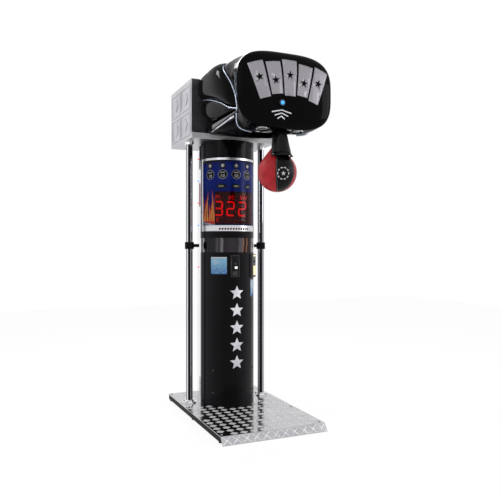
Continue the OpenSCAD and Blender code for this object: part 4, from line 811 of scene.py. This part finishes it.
# Raised pads on the plate; their near-white finish is a painted highlight
add_object("tread_pads", joined([placed(flat_pad, Matrix.Translation((x, y, BASE_H)))
                                 for x in pad_xs for y in pad_ys if free_of_feet(x, y)]), "tread_pad_painted_highlight")
crossing = bar(BAR_REACH * math.hypot(PAD_PITCH, slope_len), BAR_W, BAR_H)
bars = []
for x in pad_xs:
    middle = Matrix.Translation((x, BASE_FRONT - EDGE_RUN / 2, (BASE_H + EDGE_FOOT) / 2))
    leaning = middle @ Matrix.Rotation(slope, 4, "X")
    for way in (-1, 1):
        turned = Matrix.Rotation(way * math.atan2(slope_len, PAD_PITCH), 4, "Z")
        bars.append(placed(crossing, leaning @ turned))
# The bars' lighter metal is a painted highlight
add_object("lip_bars", joined(bars), "tread_bar_painted_highlight")


# Punch ball, in metres: a stuffed leather skin in eight gores with sunk seams, up to its neck
BALL_MID = Vector((0, PIVOT.y, BALL_Z))
NECK_R, NECK_H = 0.034, 0.135
SHOULDER = math.atan2(NECK_R, NECK_H) + math.acos(BALL_R / math.hypot(NECK_R, NECK_H))
GORES, BALL_SIDES, BALL_ROWS, NECK_ROWS = 8, 192, 44, 6
SEAM_DEPTH, SEAM_HALF, GORE_SWELL = 0.0013, 0.022, 0.0002


def ball_profile():
    """Radius, height and share of the seams' depth, from the ball's pole to the neck's rim."""
    angles = [math.pi + (SHOULDER - math.pi) * k / BALL_ROWS for k in range(1, BALL_ROWS + 1)]
    out = [(BALL_R * math.sin(a), BALL_R * math.cos(a), 1.0) for a in angles]
    top = out[-1]
    for k in range(1, NECK_ROWS + 1):
        f = k / NECK_ROWS
        out.append((top[0] + (NECK_R - top[0]) * f, top[1] + (NECK_H - top[1]) * f, 1 - f))
    return out + [(NECK_R - 0.001, NECK_H + 0.002, 0.0), (NECK_R - 0.006, NECK_H + 0.004, 0.0)]


def seam_depth(a, share):
    """Depth of the seam between two gores at the angle a, with the gores' slight swell beside it."""
    d = abs((a * GORES / (2 * math.pi) + 0.5) % 1 - 0.5) * 2 * math.pi / GORES
    return share * (SEAM_DEPTH * math.exp(-(d / SEAM_HALF) ** 2) - GORE_SWELL)


rings = []
for r, z, share in ball_profile():
    rings.append([])
    for a in turns(BALL_SIDES):
        sunk = r - seam_depth(a, share)
        rings[-1].append(BALL_MID + Vector((sunk * math.cos(a), sunk * math.sin(a), z)))
ball = add_object("ball_skin", loft(rings), "ball_red", body="ball_arm")
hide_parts("punch_ball")

# Gore of black hide: a row of stitches along each edge. A stitch is a small ridge on the hide
GORE_HALF = math.radians(31)
STITCHES, STITCH_END, STITCH_INSET = 46, 70, 0.055
STITCH_LIFT, STITCH_H, STITCH_HALF, STITCH_HALF_W = 0.0019, 0.0009, 0.0032, 0.0008


def stitch(n):
    """A stitch where the normal n meets the hide, lying along the gore's edge."""
    p = BALL_MID + n * (BALL_R + STITCH_LIFT)
    along = UP.cross(n).normalized().cross(n).normalized() * STITCH_HALF
    across = n.cross(along).normalized() * STITCH_HALF_W
    verts = [p - along - across, p - along + across, p + along + across, p + along - across,
             p + n * STITCH_H - along * 0.5, p + n * STITCH_H + along * 0.5]
    return verts, [(0, 1, 4), (1, 2, 5, 4), (2, 3, 5), (3, 0, 4, 5)]


for s, side in SIDES:
    stitches = []
    for k in range(STITCHES):
        up = math.radians(-STITCH_END + 2 * STITCH_END * k / (STITCHES - 1))
        inset = STITCH_INSET / math.cos(up)
        around = -math.pi / 2 + s * (GORE_HALF - inset)
        if inset <= GORE_HALF:
            stitches.append(stitch(Vector((math.cos(up) * math.cos(around), math.cos(up) * math.sin(around),
                                           math.sin(up)))))
    add_object("gore_stitches_" + side, joined(stitches), "thread_grey", body="ball_arm", smooth=False)

# Ring of dashes with a star in its middle, on the gore. Its place is a pixel of the 500 by 500 frame
MARK_U, MARK_V = 283.5, 173.3
MARK_R, MARK_SUNK, MARK_LIFT = BALL_R + 0.0024, 0.0008, 0.0006
STAR_TIP = 0.014
DASHES, DASH_FROM, DASH_TO = 10, 6, 28
DASH_IN, DASH_OUT, DASH_BULGE = 0.029, 0.036, 0.0005

ray = pixel_ray(MARK_U, MARK_V)
back = CAMERA - BALL_MID
past = back.dot(ray)
reach = -past - math.sqrt(past * past - back.length_squared + MARK_R * MARK_R)
mark = (CAMERA + ray * reach - BALL_MID).normalized()
mark_x = UP.cross(mark).normalized()
mark_y = mark.cross(mark_x)


def on_mark(x, y, r):
    """The place of a mark's point at the radius r from the ball's middle."""
    return BALL_MID + (mark * MARK_R + mark_x * x + mark_y * y).normalized() * r


def ball_patch(outline):
    """A thin plate on the ball from an outline in metres round the mark's middle."""
    n = len(outline)
    mid = (sum(p[0] for p in outline) / n, sum(p[1] for p in outline) / n)
    verts = [on_mark(x, y, MARK_R - MARK_SUNK) for x, y in outline]
    verts += [on_mark(x, y, MARK_R + MARK_LIFT) for x, y in outline + [mid]]
    faces = [(k, (k + 1) % n, n + (k + 1) % n, n + k) for k in range(n)]
    return verts, faces + [(n + k, n + (k + 1) % n, 2 * n) for k in range(n)]


marks = [ball_patch(star_outline(0, 0, STAR_TIP))]
for k in range(DASHES):
    a0, a1 = (math.radians(360 / DASHES * k + d) for d in (DASH_FROM, DASH_TO))
    mid = (a0 + a1) / 2
    arc = [(DASH_IN, a0), (DASH_IN + DASH_BULGE, mid), (DASH_IN, a1),
           (DASH_OUT, a1), (DASH_OUT + DASH_BULGE, mid), (DASH_OUT, a0)]
    marks.append(ball_patch([(r * math.sin(a), r * math.cos(a)) for r, a in arc]))
add_object("ball_marks", joined(marks), "print_white", body="ball_arm", smooth=False)


# Screws of the ball's cover, in metres
SCREW_R = 0.0052
COVER_SCREW = Vector((0.021, PIVOT.y - 0.034, 1.712))


def screw_head(p, axis, r):
    """A domed round head with a sunk cross. Its rings are (radius, height) in shares of r."""
    turn = UP.rotation_difference(Vector(axis).normalized()).to_matrix()

    def at(a, out, z):
        return p + turn @ (Vector((math.cos(a), math.sin(a), 0)) * out * r + Vector((0, 0, z * r)))

    rings = [[at(a, out, z) for a in turns(24)]
             for out, z in ((1.0, -0.15), (1.0, 0.12), (0.88, 0.30), (0.6, 0.42), (0.42, 0.44))]
    arm, nook = (0.36, 0.16), (0.14, 0.40)
    cross = [at(a, *(arm if k % 6 in (5, 0, 1) else nook)) for k, a in enumerate(turns(24))]
    return loft(rings + [cross])


for i, (s, _) in enumerate(SIDES):
    head = screw_head(Vector((s * COVER_SCREW.x, COVER_SCREW.y, COVER_SCREW.z)), (0, -1, 0.35), SCREW_R)
    add_object("cover_screw_%d" % i, head, "chrome", body="ball_arm")


# Printed art of the display and the fittings of the column, as thin curved plates. Their places are
# distances s round a drum of radius ART_R from its front, heights z, and lifts of their faces over the
# drum, in millimetres. ARC is a degree's length round it
ART_R = 182
ARC = ART_R * math.pi / 180
SKIN = 0.6


def on_drum(s, z, lift):
    a, r = s / ART_R, ART_R + lift
    return Vector((r * math.sin(a), -r * math.cos(a), z)) / 1000


def drum_grid(rows, lift, depth=SKIN):
    """A closed plate round the drum from a grid of places."""
    n = len(rows[0])
    top = [on_drum(s, z, lift) for row in rows for s, z in row]
    low = [on_drum(s, z, lift - depth) for row in rows for s, z in row]
    m = len(top)
    faces = []
    for j in range(len(rows) - 1):
        for i in range(n - 1):
            a, b, c, d = j * n + i, j * n + i + 1, (j + 1) * n + i + 1, (j + 1) * n + i
            faces += [(a, b, c, d), (m + d, m + c, m + b, m + a)]
    rim = list(range(n)) + [j * n + n - 1 for j in range(1, len(rows))]
    rim += list(range(m - 2, m - n - 1, -1)) + [j * n for j in range(len(rows) - 2, 0, -1)]
    faces += [(p, q, m + q, m + p) for p, q in zip(rim, rim[1:] + rim[:1])]
    return top + low, faces


def drum_rect(s0, s1, z0, z1, lift, depth=SKIN):
    """A plate between two distances round the drum and two heights, in strips of about 12 mm."""
    n = max(1, round(abs(s1 - s0) / 12))
    return drum_grid([[(s0 + (s1 - s0) * i / n, z) for i in range(n + 1)] for z in (z0, z1)], lift, depth)


def drum_oval(s, z, a, b, lift):
    rows = []
    for j in range(13):
        t = math.sin(math.pi / 2 * (j / 6 - 1)) * 0.998
        w = a * math.sqrt(1 - t * t)
        rows.append([(s + w * k / 4, z + b * t) for k in range(-4, 5)])
    return drum_grid(rows, lift)


def drum_fan(outline, lift):
    """A small star-shaped plate: its outline, and a fan round its middle."""
    n = len(outline)
    mid = (sum(p[0] for p in outline) / n, sum(p[1] for p in outline) / n)
    verts = [on_drum(s, z, q) for q in (lift, lift - SKIN) for s, z in outline + [mid]]
    faces = []
    for k in range(n):
        a, b = k, (k + 1) % n
        faces += [(a, b, n), (n + 1 + b, n + 1 + a, 2 * n + 1), (a, n + 1 + a, n + 1 + b, b)]
    return verts, faces


LIT = {"0": "abcdef", "1": "bc", "2": "abged", "3": "abgcd", "4": "fgbc"}


def number(text, s, z, h, lift):
    """A number of seven-bar digits, its middle at s and z."""
    w, t, shapes = h * 0.55, h * 0.17, []
    for i, c in enumerate(text):
        x0 = s + (i - (len(text) - 1) / 2) * h * 0.80 - w / 2
        x1, lo, hi = x0 + w, z - h / 2, z + h / 2
        bars = {"a": (x0, x1, hi - t, hi), "g": (x0, x1, z - t / 2, z + t / 2), "d": (x0, x1, lo, lo + t),
                "f": (x0, x0 + t, z, hi), "e": (x0, x0 + t, lo, z),
                "b": (x1 - t, x1, z, hi), "c": (x1 - t, x1, lo, z)}
        shapes += [drum_rect(*bars[k], lift) for k in LIT[c]]
    return shapes


# Black arch under the top strip, four medallions with plain numbers under stars, three long lozenges
ARCH_REACH, ARCH_STEPS, ARCH_TOP, ARCH_FOOT = 79, 36, 1636.2, 1622
MEDAL_AZ, MEDAL_STEP, MEDAL_Z, MEDAL_R, MEDAL_RIM = -57.5, 28, 1542, 31, 2
NUMBER_DROP, NUMBER_H = 10, 19
DASH_HALF, DASH_Z = 15, (1552, 1558)
DISC_Z, DISC_AXES, DISC_STAR = 1599, (20, 22), 15
LOZENGES, LOZENGE_Z, LOZENGE_HALF_H = ((-104, 27), (-5, 27), (88, 22)), 1466, 17
STROKE_ZS, STROKE_H = (1461, 1468), 2.6

arch = []
for i in range(ARCH_STEPS + 1):
    s = (-ARCH_REACH + 2 * ARCH_REACH * i / ARCH_STEPS) * ARC
    arch.append([(s, ARCH_TOP), (s, ARCH_FOOT + 5 * math.cos(2 * s / ART_R) + 2.5 * math.cos(s * 0.19))])
black_art = [drum_grid(arch, 0.5)]
white_art, silver_art = [], []
for i, text in enumerate(("10", "20", "30", "40")):
    s = (MEDAL_AZ + MEDAL_STEP * i) * ARC
    silver_art.append(drum_oval(s, MEDAL_Z, MEDAL_R, MEDAL_R, 0.4))
    black_art.append(drum_oval(s, MEDAL_Z, MEDAL_R - MEDAL_RIM, MEDAL_R - MEDAL_RIM, 0.8))
    black_art.append(drum_oval(s, DISC_Z, *DISC_AXES, 0.6))
    white_art += number(text, s, MEDAL_Z - NUMBER_DROP, NUMBER_H, 1.1)
    white_art.append(drum_rect(s - DASH_HALF, s + DASH_HALF, *DASH_Z, 1.1))
    silver_art.append(drum_fan(star_outline(s, DISC_Z, DISC_STAR, 5 + i % 2, 0.0, 0.5), 0.9))
for s, w in LOZENGES:
    black_art.append(drum_oval(s, LOZENGE_Z, w * 1.14, LOZENGE_HALF_H, 0.6))
    white_art += [drum_rect(s - w * 0.62, s + w * 0.62, z, z + STROKE_H, 0.9) for z in STROKE_ZS]
add_object("panel_marks_black", joined(black_art), "print_black")
add_object("panel_marks_white", joined(white_art), "print_grey", smooth=False)
add_object("panel_marks_silver", joined(silver_art), "art_silver", smooth=False)

# Tongues of fire beside the window: each is a swaying strip from a broad root to its tip, given as
# (distance round, half width, tip's height, sway, phase)
FLAMES = [
    (-245, 8.5, 1418, 5, 0.2), (-226, 11, 1376, -6, 1.1), (-206, 10, 1432, 8, 2.3),
    (-186, 11, 1352, -5, 3.0), (-168, 10, 1440, 7, 4.2), (-154, 7, 1388, -3, 5.1),
]
FLAME_ROOT, FLAME_ROWS, INNER_DROP = 1240, 15, 62
ROOT_PLATE = (-252, -147.5, 1213, 1262)
for tone, share, lift in (("flame_outer", 1.0, 0.5), ("flame_inner", 0.55, 0.8)):
    tongues = []
    for s, w, tip, sway, phase in FLAMES:
        rows = []
        for k in range(FLAME_ROWS):
            t = k / (FLAME_ROWS - 1)
            mid = s + sway * t * math.sin(5.2 * t + phase)
            half = w * share * (1 - t) ** 0.75 * (1 + 0.25 * math.sin(9 * t + phase)) + 0.6
            z = FLAME_ROOT + (tip - (1 - share) * INNER_DROP - FLAME_ROOT) * t
            rows.append([(mid - half, z), (mid, z), (mid + half, z)])
        tongues.append(drum_grid(rows, lift))
    if share == 1.0:
        tongues.append(drum_rect(*ROOT_PLATE, 0.3))
    add_object(tone, joined(tongues), tone, smooth=False)

# Foot of the art: a dark silver plate under the fire, and a row of plain lozenges on the lower strip
FOOT_S, FOOT_WIDTH, FOOT_STEPS, FOOT_Z, FOOT_TOP, FOOT_CURVE = -251, 105, 9, 1212.4, 1241, 21
STRIP_MARK = ((-7, 1189), (-2, 1196), (5, 1196), (7, 1189), (2, 1182), (-5, 1182))
rows = []
for i in range(FOOT_STEPS + 1):
    s = FOOT_S + FOOT_WIDTH * i / FOOT_STEPS
    rows.append([(s, FOOT_Z), (s, FOOT_TOP - FOOT_CURVE * math.sin(math.pi / 2 * i / FOOT_STEPS))])
add_object("panel_foot", drum_grid(rows, 1.2, 1.0), "foot_silver")
marks = [drum_fan([(s + x, z) for x, z in STRIP_MARK], 2.3) for s in range(-112, 92, 18)]
add_object("strip_marks", joined(marks), "print_red", smooth=False)


# Column: the price label's top line, short lines and tiles, by azimuth in degrees and height in
# millimetres, then the coin plate's rim and lit window, and the plate of the side label
LABEL_AZ, LABEL_TOP = (-54.6, -21.4), (998, 1005.4)
LINES, LINE_AZ, LINE_Z, LINE_STEP = 5, -50, 990, 8
TILE_COLUMNS, TILE_ROWS, TILE_AZ, TILE_STEP, TILE_Z, TILE_RISE = 7, 5, -52, 4.6, 903, 11
COIN_AZ, COIN_ZS, RIM_W = (-13, 5), (877.5, 1018.5), 3
WINDOW_AZ, WINDOW_REACH, WINDOW_ZS = -4, (-2.4, 14.4), (930.6, 944.6)
SIDE_AZ, SIDE_ZS = (38, 58), (744, 857)

lines = [drum_rect(LABEL_AZ[0] * ARC, LABEL_AZ[1] * ARC, *LABEL_TOP, 2.2, 0.5)]
for i in range(LINES):
    z = LINE_Z - LINE_STEP * i
    lines.append(drum_rect(LINE_AZ * ARC, (LINE_AZ + 6 + 3 * ((i * 5) % 4)) * ARC, z, z + 2.5, 2.1, 0.4))
add_object("label_lines", joined(lines), "print_white", smooth=False)
tiles = []
for i in range(TILE_COLUMNS):
    for j in range(TILE_ROWS):
        az, z = TILE_AZ + TILE_STEP * i, TILE_Z + TILE_RISE * j
        wide, high = 1.5 + (i * 7 + j * 5) % 3, 3 + (i + j) % 3
        if (i * 3 + j * 5) % 4:
            tiles.append(drum_rect(az * ARC, (az + wide) * ARC, z, z + high, 2.0, 0.35))
add_object("label_tiles", joined(tiles), "label_light", smooth=False)

s0, s1 = (az * ARC for az in COIN_AZ)
z0, z1 = COIN_ZS
rim = [drum_rect(s0, s0 + RIM_W, z0, z1, 5.2, 1.3), drum_rect(s1 - RIM_W, s1, z0, z1, 5.2, 1.3),
       drum_rect(s0, s1, z0, z0 + RIM_W, 5.1, 1.3), drum_rect(s0, s1, z1 - RIM_W, z1, 5.1, 1.3)]
add_object("coin_plate_rim", joined(rim), "rim_grey")
window = [WINDOW_AZ * ARC + reach for reach in WINDOW_REACH]
add_object("coin_window_lit", drum_rect(*window, *WINDOW_ZS, 4.8, 1.2), "lit_white")
side = [az * ARC for az in SIDE_AZ]
add_object("side_label_plate", drum_rect(*side, *SIDE_ZS, 1.4, 1.2), "label_blue")


# Flared lip round the front of the ball's cover, in metres: how far it reaches round in degrees, its oval's
# middle and half axes, and its outer face's (height, run out from the oval)
LIP_REACH, LIP_STEPS, LIP_FADE = 95, 40, 40
LIP_MID = (0.0, PIVOT.y - 0.050)
LIP_AXES = (0.058, 0.050)
LIP_FACE = ((1.586, -0.0022), (1.578, 0.0016), (1.5715, 0.0050), (1.5660, 0.0105))
LIP_THICK, LIP_PROUD = 0.0026, 0.0006

rings = []
for k in range(LIP_STEPS + 1):
    t = math.radians(-LIP_REACH + 2 * LIP_REACH * k / LIP_STEPS)
    out = Vector((math.sin(t), -math.cos(t), 0))
    flare = min(1.0, (LIP_REACH - abs(math.degrees(t))) / LIP_FADE + 0.1)
    edge = Vector((LIP_MID[0] + LIP_AXES[0] * math.sin(t), LIP_MID[1] - LIP_AXES[1] * math.cos(t), 0))
    outer = [edge + out * (LIP_PROUD + run * (flare if run > 0 else 1.0)) + Vector((0, 0, z))
             for z, run in LIP_FACE]
    inner = [p - out * LIP_THICK - Vector((0, 0, 0.0008)) for p in reversed(outer)]
    rings.append(outer + inner)
add_object("cover_lip", loft(rings), "cover_black", body="ball_arm")
